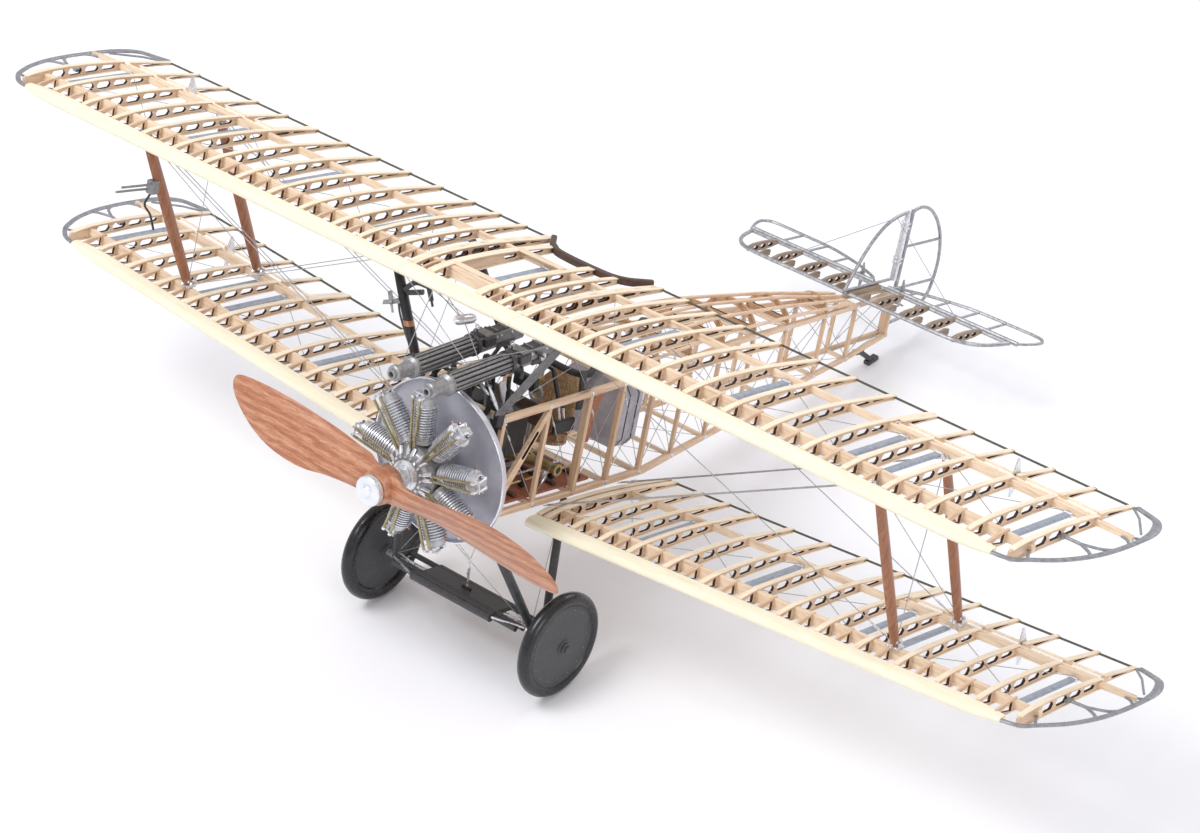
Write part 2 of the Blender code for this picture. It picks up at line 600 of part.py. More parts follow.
rudder_edge = [(303.9, -9.4), (310.0, -8.4), (316.0, -9.4), (325.0, -15.4), (332.4, -27.2),
               (334.6, -38.0), (332.4, -51.0), (325.0, -58.0), (314.0, -61.4), (303.9, -62.4)]
rudder = [rod((0.0, RUDDER_Y, -63.4), (0.0, RUDDER_Y, -8.4), 1.05, 8)]
rudder.append(ribbon([Vector((0.0, y, z)) for y, z in rudder_edge], 1.3, 1.1, across))
for z, last in ((-26.0, 331.0), (-46.0, 333.0)):
    rudder.append(box((-0.4, RUDDER_Y, z - 0.6), (0.4, last, z + 0.6)))
node("rudder", rudder, METAL_LOOK, Vector((0.0, RUDDER_Y, -36.0)))

# Undercarriage. The tread and the skid's foot are flat where they meet the floor
flat = WHEEL_RADIUS * cos(pi / WHEEL_FACETS)
floor = -WHEEL.y * sin(GROUND_ANGLE) + WHEEL.z * cos(GROUND_ANGLE) - flat


def floor_z(y):
    return (floor + y * sin(GROUND_ANGLE)) / cos(GROUND_ANGLE)


down = atan2(-cos(GROUND_ANGLE), sin(GROUND_ANGLE))
tyre = [(AXLE_RADIUS + RUNNING_GAP, -2.7), (3.2, -2.4), (16.6, -0.8), (18.0, -2.8),
        (20.8, -2.6), (WHEEL_RADIUS, -1.1), (WHEEL_RADIUS, 1.1), (20.8, 2.6),
        (18.0, 2.8), (16.6, 1.1), (3.2, 3.0), (2.8, 3.9), (AXLE_RADIUS + RUNNING_GAP, 3.9)]
for side, sign in (("port", 1), ("starboard", -1)):
    middle = Vector((sign * WHEEL.x, WHEEL.y, WHEEL.z))
    # Local Z points outboard, local X aft and local Y up (port) or down (starboard).
    basis = Matrix(((0.0, 0.0, sign), (1.0, 0.0, 0.0), (0.0, sign, 0.0))).to_4x4()
    first = sign * down + pi / WHEEL_FACETS
    node(f"wheel_{side}", [turned(tyre, WHEEL_FACETS, Matrix.Translation(middle) @ basis, first)],
         (RUBBER, 0.0, 0.4), middle)

    front_top = Vector((sign * 22.0, 13.4, -88.6))
    front_low = Vector((sign * 36.4, 36.2, -132.4))
    rear_top = Vector((sign * 20.4, 62.0, -88.6))
    rear_low = Vector((sign * 36.4, 44.2, -132.4))
    knuckle = turned([(AXLE_RADIUS + RUNNING_GAP, -2.0), (2.6, -2.0), (2.6, 2.0),
                      (AXLE_RADIUS + RUNNING_GAP, 2.0)], 24,
                     Matrix.Translation((sign * 37.0, WHEEL.y, WHEEL.z))
                     @ Matrix.Rotation(radians(90.0), 4, "Y"))
    block = box((min(sign * 35.3, sign * 37.7), 35.0, -133.2),
                (max(sign * 35.3, sign * 37.7), 45.4, -131.0))
    node(f"gear_struts_{side}", [block, knuckle,
                                 streamlined(front_low, front_top, 5.2, 3.0, 0.8),
                                 streamlined(rear_low, rear_top, 4.6, 2.8, 0.8)], GREY_LOOK)

axle = rod((-52.0, WHEEL.y, WHEEL.z), (52.0, WHEEL.y, WHEEL.z), AXLE_RADIUS, 24)
node("axle", [axle], METAL_LOOK)
spreader = [box((-20.5, 31.0, -132.9), (20.5, 45.6, -131.1))]
spreader.append(rod((-34.6, 33.4, -132.2), (34.6, 33.4, -132.2), 1.2, 8))
spreader.append(rod((-34.6, 43.4, -132.2), (34.6, 43.4, -132.2), 1.2, 8))
node("axle_fairing", spreader, DARK_LOOK)

foot_middle = Vector((0.0, SKID_Y, floor_z(SKID_Y)))
foot = bmesh.new()
bmesh.ops.create_cube(foot, size=1.0, matrix=Matrix.Translation(foot_middle)
                      @ Matrix.Rotation(GROUND_ANGLE, 4, "X")
                      @ Matrix.Translation((0.0, 0.0, 0.9))
                      @ Matrix.Diagonal((3.0, 7.0, 1.8, 1.0)))
leg_low = foot_middle + Vector((0.0, -1.0, 1.2))
skid = [foot, bar(leg_low, (0.0, 286.0, -73.0), 2.0, 2.4, Vector((1.0, 0.0, 0.0)))]
skid.append(box((-1.4, 282.5, -73.9), (1.4, 288.0, -72.2)))
node("tail_skid", skid, WOOD_LOOK)

# Wind-driven pump on a cabane strut
fan_at = Vector((-36.4, 5.2, -17.4))
fan = [turned([(0.0, -1.1), (1.1, -1.1), (1.1, 0.6), (0.5, 1.3), (0.0, 1.3)], 10, along_y(fan_at))]
for k in range(4):
    spin = along_y(fan_at) @ Matrix.Rotation(k * pi / 2 + 0.4, 4, "Z")
    vane = spin @ Matrix.Translation((2.4, 0.0, 0.0)) @ Matrix.Rotation(radians(28.0), 4, "X")
    blade = bmesh.new()
    bmesh.ops.create_cube(blade, size=1.0, matrix=vane @ Matrix.Diagonal((3.6, 1.7, 0.45, 1.0)))
    fan.append(blade)
node("pump_fan", fan, METAL_LOOK, fan_at)

# Set the model down: nose up, floor at Z = 0, centred over the origin
attitude.rotation_euler = (-GROUND_ANGLE, 0.0, 0.0)
bpy.context.view_layer.update()
graph = bpy.context.evaluated_depsgraph_get()
corners = []
for obj in parts.objects:
    if obj.type != "MESH":
        continue
    solid = obj.evaluated_get(graph)
    corners += [solid.matrix_world @ v.co for v in solid.data.vertices]
lows = [min(c[i] for c in corners) for i in range(3)]
highs = [max(c[i] for c in corners) for i in range(3)]
attitude.location = (-(lows[0] + highs[0]) / 2, -(lows[1] + highs[1]) / 2, -lows[2])
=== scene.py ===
import json
from math import atan2, cos, pi, radians, sin, sqrt, tan

import bmesh
import bpy
import numpy as np
from mathutils import Matrix, Vector, geometry


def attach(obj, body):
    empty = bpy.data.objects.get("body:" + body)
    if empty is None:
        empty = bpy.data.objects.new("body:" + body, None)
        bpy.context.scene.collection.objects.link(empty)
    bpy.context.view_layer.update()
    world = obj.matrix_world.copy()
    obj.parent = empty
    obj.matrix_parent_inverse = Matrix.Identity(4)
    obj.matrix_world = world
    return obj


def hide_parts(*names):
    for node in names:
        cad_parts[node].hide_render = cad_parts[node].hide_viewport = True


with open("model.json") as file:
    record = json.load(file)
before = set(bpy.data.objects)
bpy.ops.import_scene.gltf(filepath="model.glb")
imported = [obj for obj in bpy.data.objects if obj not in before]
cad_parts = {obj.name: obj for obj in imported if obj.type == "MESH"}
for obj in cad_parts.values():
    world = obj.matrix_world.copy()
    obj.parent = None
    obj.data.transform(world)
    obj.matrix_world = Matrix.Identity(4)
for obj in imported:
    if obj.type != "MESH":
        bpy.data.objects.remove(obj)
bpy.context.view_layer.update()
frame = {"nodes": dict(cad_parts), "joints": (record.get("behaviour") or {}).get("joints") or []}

# Everything is laid out in millimetres in the flying attitude, with the origin at the middle
# of the upper wing's leading edge, +X to port, +Y aft and +Z up. LEVEL sets it on the floor.
GROUND_ANGLE = radians(16.8)
WHEEL = Vector((47.4, 40.0, -134.9))
joints = {joint["name"]: joint for joint in frame["joints"]}
tilt = Matrix.Rotation(-GROUND_ANGLE, 4, "X")
wheel_home = Vector(joints["wheel_port_spin"]["pos_m"])
LEVEL = Matrix.Translation(wheel_home - tilt @ (WHEEL * 0.001)) @ tilt @ Matrix.Scale(0.001, 4)
UP = (0.0, 0.0, 1.0)
ACROSS = (1.0, 0.0, 0.0)
AFT = (0.0, 1.0, 0.0)
SIDES = (("port", 1), ("starboard", -1))

# ---------------------------------------------------------------- camera, light and floor

CAMERA_AT = (754.2, -949.5, 441.6)
CAMERA_TURN = (1.79266416, 0.784289189, -0.279851526)
SENSOR = 36.0
FOCAL = 103.86
SHIFT = (0.0063, -0.0021)
CLIP = (0.01, 30.0)
SKY_STRENGTH = 0.74
PAPER_TONE = (0.90, 0.90, 0.92, 1.0)
SKY_TONE = (0.94, 0.945, 1.0, 1.0)
LIT_POINT = (0.0, 0.0, 0.06)
FLOOR_REACH = 12.0
FLOOR_DROP = -0.0002


def make_camera():
    turn = Vector(CAMERA_TURN)
    seen = Matrix.Rotation(turn.length, 3, turn.normalized())
    right, down, ahead = seen[0], seen[1], seen[2]
    basis = Matrix((right, -down, -ahead)).transposed().to_4x4()
    camera = bpy.data.objects.new("camera", bpy.data.cameras.new("camera"))
    bpy.context.scene.collection.objects.link(camera)
    place = tilt @ basis
    place.translation = LEVEL @ Vector(CAMERA_AT)
    camera.matrix_world = place
    camera.data.sensor_width = SENSOR
    camera.data.lens = FOCAL
    camera.data.shift_x, camera.data.shift_y = SHIFT
    camera.data.clip_start, camera.data.clip_end = CLIP
    bpy.context.scene.camera = camera


def area_light(name, at, target, size, power):
    light = bpy.data.lights.new(name, "AREA")
    light.shape = "DISK"
    light.size = size
    light.energy = power
    lamp = bpy.data.objects.new(name, light)
    bpy.context.scene.collection.objects.link(lamp)
    lamp.location = at
    lamp.rotation_mode = "QUATERNION"
    lamp.rotation_quaternion = (Vector(target) - Vector(at)).to_track_quat("-Z", "Y")


def make_stage():
    world = bpy.data.worlds.new("studio")
    bpy.context.scene.world = world
    world.use_nodes = True
    sky = world.node_tree.nodes["Background"]
    sky.inputs["Color"].default_value = SKY_TONE
    sky.inputs["Strength"].default_value = SKY_STRENGTH
    for name, at, size, power in (("key", (-0.4, -0.9, 1.6), 0.8, 18.0),
                                  ("side", (1.6, -0.5, 0.9), 0.8, 5.0),
                                  ("back", (0.3, 1.6, 1.2), 1.0, 7.0)):
        area_light(name, at, LIT_POINT, size, power)
    floor_mesh = bpy.data.meshes.new("floor")
    far = FLOOR_REACH
    floor_mesh.from_pydata([(-far, -far, 0), (far, -far, 0), (far, far, 0), (-far, far, 0)],
                           [], [(0, 1, 2, 3)])
    floor = bpy.data.objects.new("floor", floor_mesh)
    bpy.context.scene.collection.objects.link(floor)
    floor.location.z = FLOOR_DROP
    paper = bpy.data.materials.new("studio_paper")
    paper.use_nodes = True
    shader = paper.node_tree.nodes["Principled BSDF"]
    shader.inputs["Base Color"].default_value = PAPER_TONE
    shader.inputs["Roughness"].default_value = 0.65
    floor_mesh.materials.append(paper)
    bpy.context.scene.view_settings.view_transform = "Standard"


# ---------------------------------------------------------------- materials

def surface(name, tones, scale, stretch=(1.0, 1.0, 1.0), metallic=0.0, rough=(0.4, 0.6),
            bump=0.0, coat=0.0, fine=0.35, turn=0.0, rings=0.0):
    """Material that runs between the tones with a stretched noise, and a finer one for its bump.

    scale is features per metre; stretch shortens the noise along an axis so that grain runs
    along it; rings mixes in growth-ring bands; turn tips the pattern about X.
    """
    mat = bpy.data.materials.new(name)
    mat.use_nodes = True
    nodes, links = mat.node_tree.nodes, mat.node_tree.links
    shader = nodes["Principled BSDF"]
    place = nodes.new("ShaderNodeTexCoord")
    mapping = nodes.new("ShaderNodeMapping")
    mapping.vector_type = "TEXTURE"
    mapping.inputs["Rotation"].default_value = (-GROUND_ANGLE + turn, 0.0, 0.0)
    mapping.inputs["Scale"].default_value = stretch
    links.new(place.outputs["Object"], mapping.inputs["Vector"])
    broad = nodes.new("ShaderNodeTexNoise")
    broad.inputs["Scale"].default_value = scale
    broad.inputs["Detail"].default_value = 5.0
    broad.inputs["Roughness"].default_value = 0.62
    broad.inputs["Distortion"].default_value = 0.35
    links.new(mapping.outputs["Vector"], broad.inputs["Vector"])
    pores = nodes.new("ShaderNodeTexNoise")
    pores.inputs["Scale"].default_value = scale * 4.5
    pores.inputs["Detail"].default_value = 3.0
    links.new(mapping.outputs["Vector"], pores.inputs["Vector"])
    mix = nodes.new("ShaderNodeMath")
    mix.operation = "MULTIPLY_ADD"
    links.new(pores.outputs["Fac"], mix.inputs[0])
    mix.inputs[1].default_value = fine
    links.new(broad.outputs["Fac"], mix.inputs[2])
    tone = mix.outputs[0]
    if rings:
        bands = nodes.new("ShaderNodeTexWave")
        bands.wave_type = "BANDS"
        bands.bands_direction = "Z"
        bands.inputs["Scale"].default_value = rings
        bands.inputs["Distortion"].default_value = 7.0
        bands.inputs["Detail"].default_value = 3.0
        bands.inputs["Detail Scale"].default_value = 1.6
        links.new(mapping.outputs["Vector"], bands.inputs["Vector"])
        more = nodes.new("ShaderNodeMath")
        more.operation = "MULTIPLY_ADD"
        links.new(bands.outputs["Fac"], more.inputs[0])
        more.inputs[1].default_value = 0.22
        links.new(tone, more.inputs[2])
        tone = more.outputs[0]
    ramp = nodes.new("ShaderNodeValToRGB")
    links.new(tone, ramp.inputs["Fac"])
    low, high = 0.38, 0.62 + fine * 0.8 + (0.15 if rings else 0.0)
    while len(ramp.color_ramp.elements) < len(tones):
        ramp.color_ramp.elements.new(0.5)
    for i, colour in enumerate(tones):
        element = ramp.color_ramp.elements[i]
        element.position = low + (high - low) * i / (len(tones) - 1)
        element.color = (*colour, 1.0)
    links.new(ramp.outputs["Color"], shader.inputs["Base Color"])
    polish = nodes.new("ShaderNodeMapRange")
    polish.inputs["From Min"].default_value = 0.3
    polish.inputs["From Max"].default_value = 0.7
    polish.inputs["To Min"].default_value = rough[0]
    polish.inputs["To Max"].default_value = rough[1]
    links.new(broad.outputs["Fac"], polish.inputs["Value"])
    links.new(polish.outputs["Result"], shader.inputs["Roughness"])
    shader.inputs["Metallic"].default_value = metallic
    if coat:
        shader.inputs["Coat Weight"].default_value = coat
        shader.inputs["Coat Roughness"].default_value = 0.18
    if bump:
        relief = nodes.new("ShaderNodeBump")
        relief.inputs["Strength"].default_value = bump
        relief.inputs["Distance"].default_value = 0.0002
        links.new(tone, relief.inputs["Height"])
        links.new(relief.outputs["Normal"], shader.inputs["Normal"])
    return mat


ALONG_X = (14.0, 1.0, 1.0)
ALONG_Y = (1.0, 14.0, 1.0)
ALONG_Z = (1.0, 1.0, 14.0)


def wood(name, tones, along, scale=900.0, rings=0.0, rough=(0.42, 0.6), coat=0.0, bump=0.25):
    return surface(name, tones, scale, along, 0.0, rough, bump, coat, 0.35, 0.0, rings)


M = {
    "strip": wood("pale_leading_wood", [(0.78, 0.70, 0.50), (0.86, 0.79, 0.60), (0.90, 0.84, 0.67)],
                  ALONG_X, 600.0),
    "rib": wood("rib_wood", [(0.46, 0.28, 0.165), (0.66, 0.46, 0.305), (0.79, 0.60, 0.43)],
                ALONG_Y, 800.0),
    "cap": wood("cap_wood", [(0.70, 0.53, 0.36), (0.87, 0.73, 0.54), (0.93, 0.83, 0.67)],
                ALONG_Y, 800.0),
    "spar": wood("spar_wood", [(0.52, 0.34, 0.21), (0.76, 0.58, 0.41), (0.87, 0.72, 0.54)],
                 ALONG_X, 700.0),
    "burnt": surface("laser_burnt_edge", [(0.014, 0.008, 0.006), (0.040, 0.020, 0.012),
                                          (0.075, 0.038, 0.02)], 1500.0, rough=(0.7, 0.85)),
    "frame": wood("fuselage_spruce", [(0.48, 0.29, 0.17), (0.70, 0.49, 0.33), (0.82, 0.64, 0.47)],
                  ALONG_Y, 800.0),
    "post": wood("post_spruce", [(0.45, 0.26, 0.15), (0.66, 0.45, 0.29), (0.79, 0.60, 0.42)],
                 ALONG_Z, 800.0),
    "ply": wood("former_plywood", [(0.30, 0.15, 0.075), (0.46, 0.27, 0.14), (0.56, 0.36, 0.20)],
                ALONG_X, 700.0),
    "walnut": wood("walnut_trim", [(0.035, 0.018, 0.012), (0.07, 0.036, 0.024),
                                   (0.11, 0.06, 0.036)], ALONG_X, 900.0),
    "strut": wood("strut_wood", [(0.17, 0.062, 0.028), (0.31, 0.120, 0.056),
                                 (0.43, 0.185, 0.092)], ALONG_Z, 900.0, coat=0.2),
    "mahogany": wood("propeller_mahogany", [(0.24, 0.080, 0.038), (0.40, 0.155, 0.076),
                                            (0.58, 0.29, 0.17)], (10.0, 1.0, 1.0), 1300.0, 90.0,
                     rough=(0.32, 0.5), coat=0.15),
    "tail": wood("tail_wood", [(0.17, 0.115, 0.075), (0.29, 0.21, 0.145), (0.41, 0.31, 0.215)],
                 ALONG_Y, 900.0),
    "red_floor": wood("stained_floor", [(0.22, 0.06, 0.03), (0.34, 0.11, 0.06),
                                        (0.45, 0.18, 0.10)], ALONG_X, 700.0),
    "black": surface("black_lacquer", [(0.008, 0.008, 0.009), (0.017, 0.017, 0.019),
                                       (0.03, 0.03, 0.032)], 700.0, rough=(0.3, 0.48), bump=0.05),
    "dark": surface("dark_grey_paint", [(0.030, 0.031, 0.033), (0.050, 0.051, 0.054),
                                        (0.075, 0.076, 0.079)], 600.0, rough=(0.4, 0.58), bump=0.06),
    # lighter grey used only for the port cabane struts: painted light against the black starboard
    # struts
    "lit_side_strut_grey": surface("strut_grey_painted_light", [(0.10, 0.10, 0.104), (0.15, 0.15, 0.154),
                                                (0.21, 0.21, 0.214)], 500.0, rough=(0.4, 0.55),
                           bump=0.05, metallic=0.2),
    "gun": surface("gun_grey", [(0.18, 0.18, 0.184), (0.28, 0.28, 0.284), (0.40, 0.40, 0.404)],
                   900.0, metallic=0.6, rough=(0.34, 0.5), bump=0.08),
    "muzzle": surface("muzzle_grey", [(0.20, 0.20, 0.205), (0.30, 0.30, 0.305),
                                      (0.42, 0.42, 0.425)], 700.0, metallic=0.5,
                      rough=(0.34, 0.48), bump=0.05),
    # darker gun grey: painted shade in the gun jacket grooves, and the own darker colour of the other
    # fittings that use it
    "gun_dark": surface("dark_gun_grey_and_painted_groove_shade", [(0.055, 0.055, 0.057), (0.09, 0.09, 0.093),
                                            (0.14, 0.14, 0.144)], 900.0, metallic=0.5,
                        rough=(0.36, 0.52), bump=0.08),
    "silver": surface("bright_cast_metal", [(0.62, 0.63, 0.66), (0.75, 0.76, 0.79),
                                            (0.88, 0.89, 0.92)], 500.0, metallic=0.7,
                      rough=(0.22, 0.34), bump=0.02, fine=0.2),
    "tube": surface("tail_tube_metal", [(0.22, 0.22, 0.23), (0.36, 0.36, 0.37),
                                        (0.55, 0.55, 0.56)], 700.0, metallic=0.8,
                    rough=(0.3, 0.45), bump=0.05),
    "sheet": surface("sheet_aluminium", [(0.52, 0.52, 0.59), (0.61, 0.61, 0.68),
                                         (0.70, 0.70, 0.76)], 90.0, metallic=0.45,
                     rough=(0.4, 0.52), bump=0.02, fine=0.2),
    "rim": surface("polished_rim", [(0.75, 0.76, 0.80), (0.88, 0.89, 0.92)], 300.0,
                   metallic=0.9, rough=(0.2, 0.3)),
    "hub": surface("hub_white_metal", [(0.70, 0.71, 0.74), (0.84, 0.85, 0.88)], 260.0,
                   metallic=0.7, rough=(0.28, 0.38)),
    "blue": surface("blue_grey_metal", [(0.24, 0.27, 0.33), (0.34, 0.38, 0.44),
                                        (0.46, 0.50, 0.56)], 500.0, metallic=0.35,
                    rough=(0.34, 0.48)),
    "tank": surface("lavender_tank", [(0.36, 0.36, 0.42), (0.46, 0.46, 0.53), (0.56, 0.56, 0.63)],
                    240.0, metallic=0.4, rough=(0.36, 0.5), bump=0.03),
    "light_metal": surface("pale_bent_metal", [(0.42, 0.42, 0.44), (0.55, 0.55, 0.57),
                                               (0.66, 0.66, 0.68)], 300.0, metallic=0.5,
                           rough=(0.32, 0.45)),
    "strap_grey": surface("bow_metal", [(0.20, 0.205, 0.215), (0.30, 0.305, 0.32),
                                        (0.42, 0.425, 0.44)], 500.0, metallic=0.6,
                          rough=(0.34, 0.5)),
    "brass": surface("brass", [(0.30, 0.21, 0.08), (0.48, 0.36, 0.16), (0.62, 0.50, 0.27)],
                     600.0, metallic=0.9, rough=(0.28, 0.45)),
    "rod": surface("olive_push_rod", [(0.22, 0.19, 0.10), (0.36, 0.31, 0.18), (0.52, 0.46, 0.29)],
                   600.0, metallic=0.8, rough=(0.3, 0.45)),
    "copper": surface("copper_band", [(0.38, 0.17, 0.09), (0.56, 0.29, 0.17)], 600.0,
                      metallic=0.9, rough=(0.3, 0.45)),
    "wire": surface("steel_wire", [(0.30, 0.30, 0.31), (0.50, 0.50, 0.51)], 400.0,
                    metallic=0.6, rough=(0.3, 0.4)),
    "olive_wire": surface("trailing_wire", [(0.07, 0.065, 0.045), (0.16, 0.15, 0.11)], 400.0,
                          metallic=0.5, rough=(0.35, 0.5)),
    "rubber": surface("tyre_rubber", [(0.004, 0.004, 0.005), (0.008, 0.008, 0.010),
                                      (0.014, 0.014, 0.016)], 500.0, rough=(0.2, 0.36), bump=0.03,
                      coat=0.15),
    "cover": surface("wheel_cover_paint", [(0.045, 0.047, 0.050), (0.062, 0.064, 0.068),
                                           (0.080, 0.083, 0.088)], 260.0, rough=(0.5, 0.66),
                     bump=0.04),
    "leather": surface("padded_leather", [(0.010, 0.010, 0.010), (0.02, 0.02, 0.02),
                                          (0.035, 0.034, 0.034)], 1300.0, rough=(0.45, 0.62),
                       bump=0.5),
    "wicker": surface("wicker_weave", [(0.11, 0.05, 0.022), (0.30, 0.17, 0.08),
                                       (0.52, 0.36, 0.19)], 1100.0, (1.0, 1.0, 1.6),
                      rough=(0.6, 0.75), bump=0.6, fine=0.7),
    "belt": surface("lap_belt", [(0.16, 0.02, 0.015), (0.26, 0.04, 0.03), (0.36, 0.07, 0.05)],
                    1800.0, rough=(0.6, 0.75), bump=0.3),
    "strap": surface("tan_strap", [(0.26, 0.09, 0.05), (0.40, 0.16, 0.09), (0.52, 0.25, 0.15)],
                     900.0, rough=(0.5, 0.65), bump=0.15),
}

# ---------------------------------------------------------------- mesh building


class Shape:
    """Faces gathered in millimetres in the flying attitude until they become one piece."""

    def __init__(self):
        self.points, self.faces, self.looks, self.count = [], [], [], 0

    def add(self, made, look=0, place=None):
        points, faces = made[0], made[1]
        points = np.asarray(points, float)
        if place is not None:
            m = np.array(place)
            points = points @ m[:3, :3].T + m[:3, 3]
        self.points.append(points)
        for i, face in enumerate(faces):
            self.faces.append([self.count + k for k in face])
            self.looks.append(made[2][i] if len(made) > 2 else look)
        self.count += len(points)

    def place(self, matrix):
        m = np.array(matrix)
        self.points = [p @ m[:3, :3].T + m[:3, 3] for p in self.points]


def piece(name, shape, looks, body, stands_for=(), smooth=35.0):
    mesh = bpy.data.meshes.new(name)
    mesh.from_pydata(np.concatenate(shape.points).tolist(), [], shape.faces)
    mesh.transform(LEVEL)
    for look in looks:
        mesh.materials.append(M[look])
    mesh.polygons.foreach_set("material_index", shape.looks)
    bm = bmesh.new()
    bm.from_mesh(mesh)
    bmesh.ops.recalc_face_normals(bm, faces=bm.faces)
    bm.to_mesh(mesh)
    bm.free()
    mesh.polygons.foreach_set("use_smooth", [True] * len(mesh.polygons))
    mesh.set_sharp_from_angle(angle=radians(smooth))
    obj = bpy.data.objects.new(name, mesh)
    bpy.context.scene.collection.objects.link(obj)
    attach(obj, body)
    if stands_for:
        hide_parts(*stands_for)
    return obj


def unit(v):
    v = np.asarray(v, float)
    return v / np.linalg.norm(v)


def skin(count, m):
    """Faces round count rings of m points each, and over both ends."""
    faces = [[i * m + j, i * m + (j + 1) % m, (i + 1) * m + (j + 1) % m, (i + 1) * m + j]
             for i in range(count - 1) for j in range(m)]
    return faces + [list(range(m)), list(range((count - 1) * m, count * m))]


def sweep(points, section, up=UP, scale=None, closed=False, side_scale=None):
    """Closed section carried along points: its x lies across up and its y along up."""
    p = np.asarray(points, float)
    n = len(p)
    if closed:
        d = np.roll(p, -1, 0) - np.roll(p, 1, 0)
    else:
        d = np.empty_like(p)
        steps = np.diff(p, axis=0)
        steps = steps / np.linalg.norm(steps, axis=1)[:, None]
        d[0], d[-1] = steps[0], steps[-1]
        d[1:-1] = steps[:-1] + steps[1:]
    d = d / np.linalg.norm(d, axis=1)[:, None]
    side = np.cross(d, np.broadcast_to(np.asarray(up, float), d.shape))
    side = side / np.linalg.norm(side, axis=1)[:, None]
    over = np.cross(side, d)
    s = np.asarray(section, float)
    tall = np.ones(n) if scale is None else np.asarray(scale, float)
    wide = tall if side_scale is None else np.asarray(side_scale, float)
    rings = (p[:, None, :] + side[:, None, :] * (s[None, :, 0, None] * wide[:, None, None])
             + over[:, None, :] * (s[None, :, 1, None] * tall[:, None, None]))
    m = len(s)
    if not closed:
        return rings.reshape(-1, 3), skin(n, m)
    faces = []
    for i in range(n):
        a, b = i * m, ((i + 1) % n) * m
        faces += [[a + k, a + (k + 1) % m, b + (k + 1) % m, b + k] for k in range(m)]
    return rings.reshape(-1, 3), faces


def circle(radius, sides):
    return [(radius * cos(2 * pi * k / sides), radius * sin(2 * pi * k / sides))
            for k in range(sides)]


def slab(width, height, corner=0.18):
    """Rectangle with cut corners."""
    w, h, c = width / 2, height / 2, min(corner, width / 3, height / 3)
    return [(-w + c, -h), (w - c, -h), (w, -h + c), (w, h - c), (w - c, h), (-w + c, h),
            (-w, h - c), (-w, -h + c)]


def tube(points, radius, sides=8, closed=False):
    p = np.asarray(points, float)
    reach = np.abs(p[-1] - p[0]) if not closed else np.ptp(p, axis=0)
    up = np.eye(3)[int(np.argmin(reach))]
    if np.ndim(radius):
        return sweep(p, circle(1.0, sides), up, radius, closed)
    return sweep(p, circle(radius, sides), up, None, closed)


def bar(points, width, height, up=UP, corner=0.18, scale=None):
    return sweep(points, slab(width, height, corner), up, scale)


def block(low, high, corner=0.25):
    """Box with bevelled edges, from its low corner to its high corner."""
    low, high = np.asarray(low, float), np.asarray(high, float)
    c = min(corner, *((high - low) / 3))
    middle = (low + high) / 2
    x0, x1 = low[0], high[0]
    y, z = (high[1] - low[1]), (high[2] - low[2])
    line = [(x0, middle[1], middle[2]), (x0 + c, middle[1], middle[2]),
            (x1 - c, middle[1], middle[2]), (x1, middle[1], middle[2])]
    tall = [(z - 2 * c) / z, 1.0, 1.0, (z - 2 * c) / z]
    wide = [(y - 2 * c) / y, 1.0, 1.0, (y - 2 * c) / y]
    return sweep(line, slab(y, z, c), UP, tall, False, wide)


def turned(profile, sides):
    """Solid or ring of revolution about Z from (radius, height) points."""
    on_axis = profile[0][0] == 0.0 and profile[-1][0] == 0.0
    rim = profile[1:-1] if on_axis else profile
    a = np.arange(sides) * 2 * pi / sides
    r = np.array([q[0] for q in rim])
    h = np.array([q[1] for q in rim])
    points = np.stack([np.cos(a)[:, None] * r, np.sin(a)[:, None] * r,
                       np.broadcast_to(h, (sides, len(rim)))], axis=2).reshape(-1, 3)
    m = len(rim)
    faces = []
    for k in range(sides):
        near, far = k * m, ((k + 1) % sides) * m
        faces += [[near + i, far + i, far + (i + 1) % m, near + (i + 1) % m]
                  for i in range(m - 1 if on_axis else m)]
    if on_axis:
        faces.append([k * m for k in range(sides)])
        faces.append([k * m + m - 1 for k in range(sides)])
    return points, faces


def plate(outer, holes, thick, face_look=0, rim_look=0, hole_look=1):
    """Flat plate in YZ with holes, thick along X; outlines are (y, z) points."""
    loops = [outer] + list(holes)
    flat = [[Vector((y, z, 0.0)) for y, z in loop] for loop in loops]
    triangles = geometry.tessellate_polygon(flat)
    points = [(side * thick / 2, y, z) for side in (-1, 1) for loop in loops for y, z in loop]
    total = len(points) // 2
    faces = [list(t) for t in triangles]
    faces += [[i + total for i in t] for t in triangles]
    looks = [face_look] * len(faces)
    start = 0
    for n, loop in enumerate(loops):
        m = len(loop)
        for k in range(m):
            a, b = start + k, start + (k + 1) % m
            faces.append([a, b, b + total, a + total])
            looks.append(hole_look if n else rim_look)
        start += m
    return points, faces, looks


def facing(at, along, up=UP):
    """Matrix at a point, with its Z along a direction."""
    z = Vector(along).normalized()
    x = Vector(up).cross(z)
    if x.length < 1e-4:
        x = Vector(ACROSS)
    x.normalize()
    y = z.cross(x)
    turn = Matrix((x, y, z)).transposed().to_4x4()
    turn.translation = Vector(at)
    return turn


def turned_at(profile, sides, at, along):
    points, faces = turned(profile, sides)
    m = np.array(facing(at, along))
    return points @ m[:3, :3].T + m[:3, 3], faces


def peg(radius, height, sides, at, along=UP):
    """Short round pin, nut or disc that starts at a point."""
    profile = [(0.0, 0.0), (radius, 0.0), (radius, height), (0.0, height)]
    return turned_at(profile, sides, at, along)


def mirrored_block(s, low, high, corner=0.25):
    """Box on the side that s gives, from corners written for the port side."""
    xs = sorted((s * low[0], s * high[0]))
    return block((xs[0], *low[1:]), (xs[1], *high[1:]), corner)


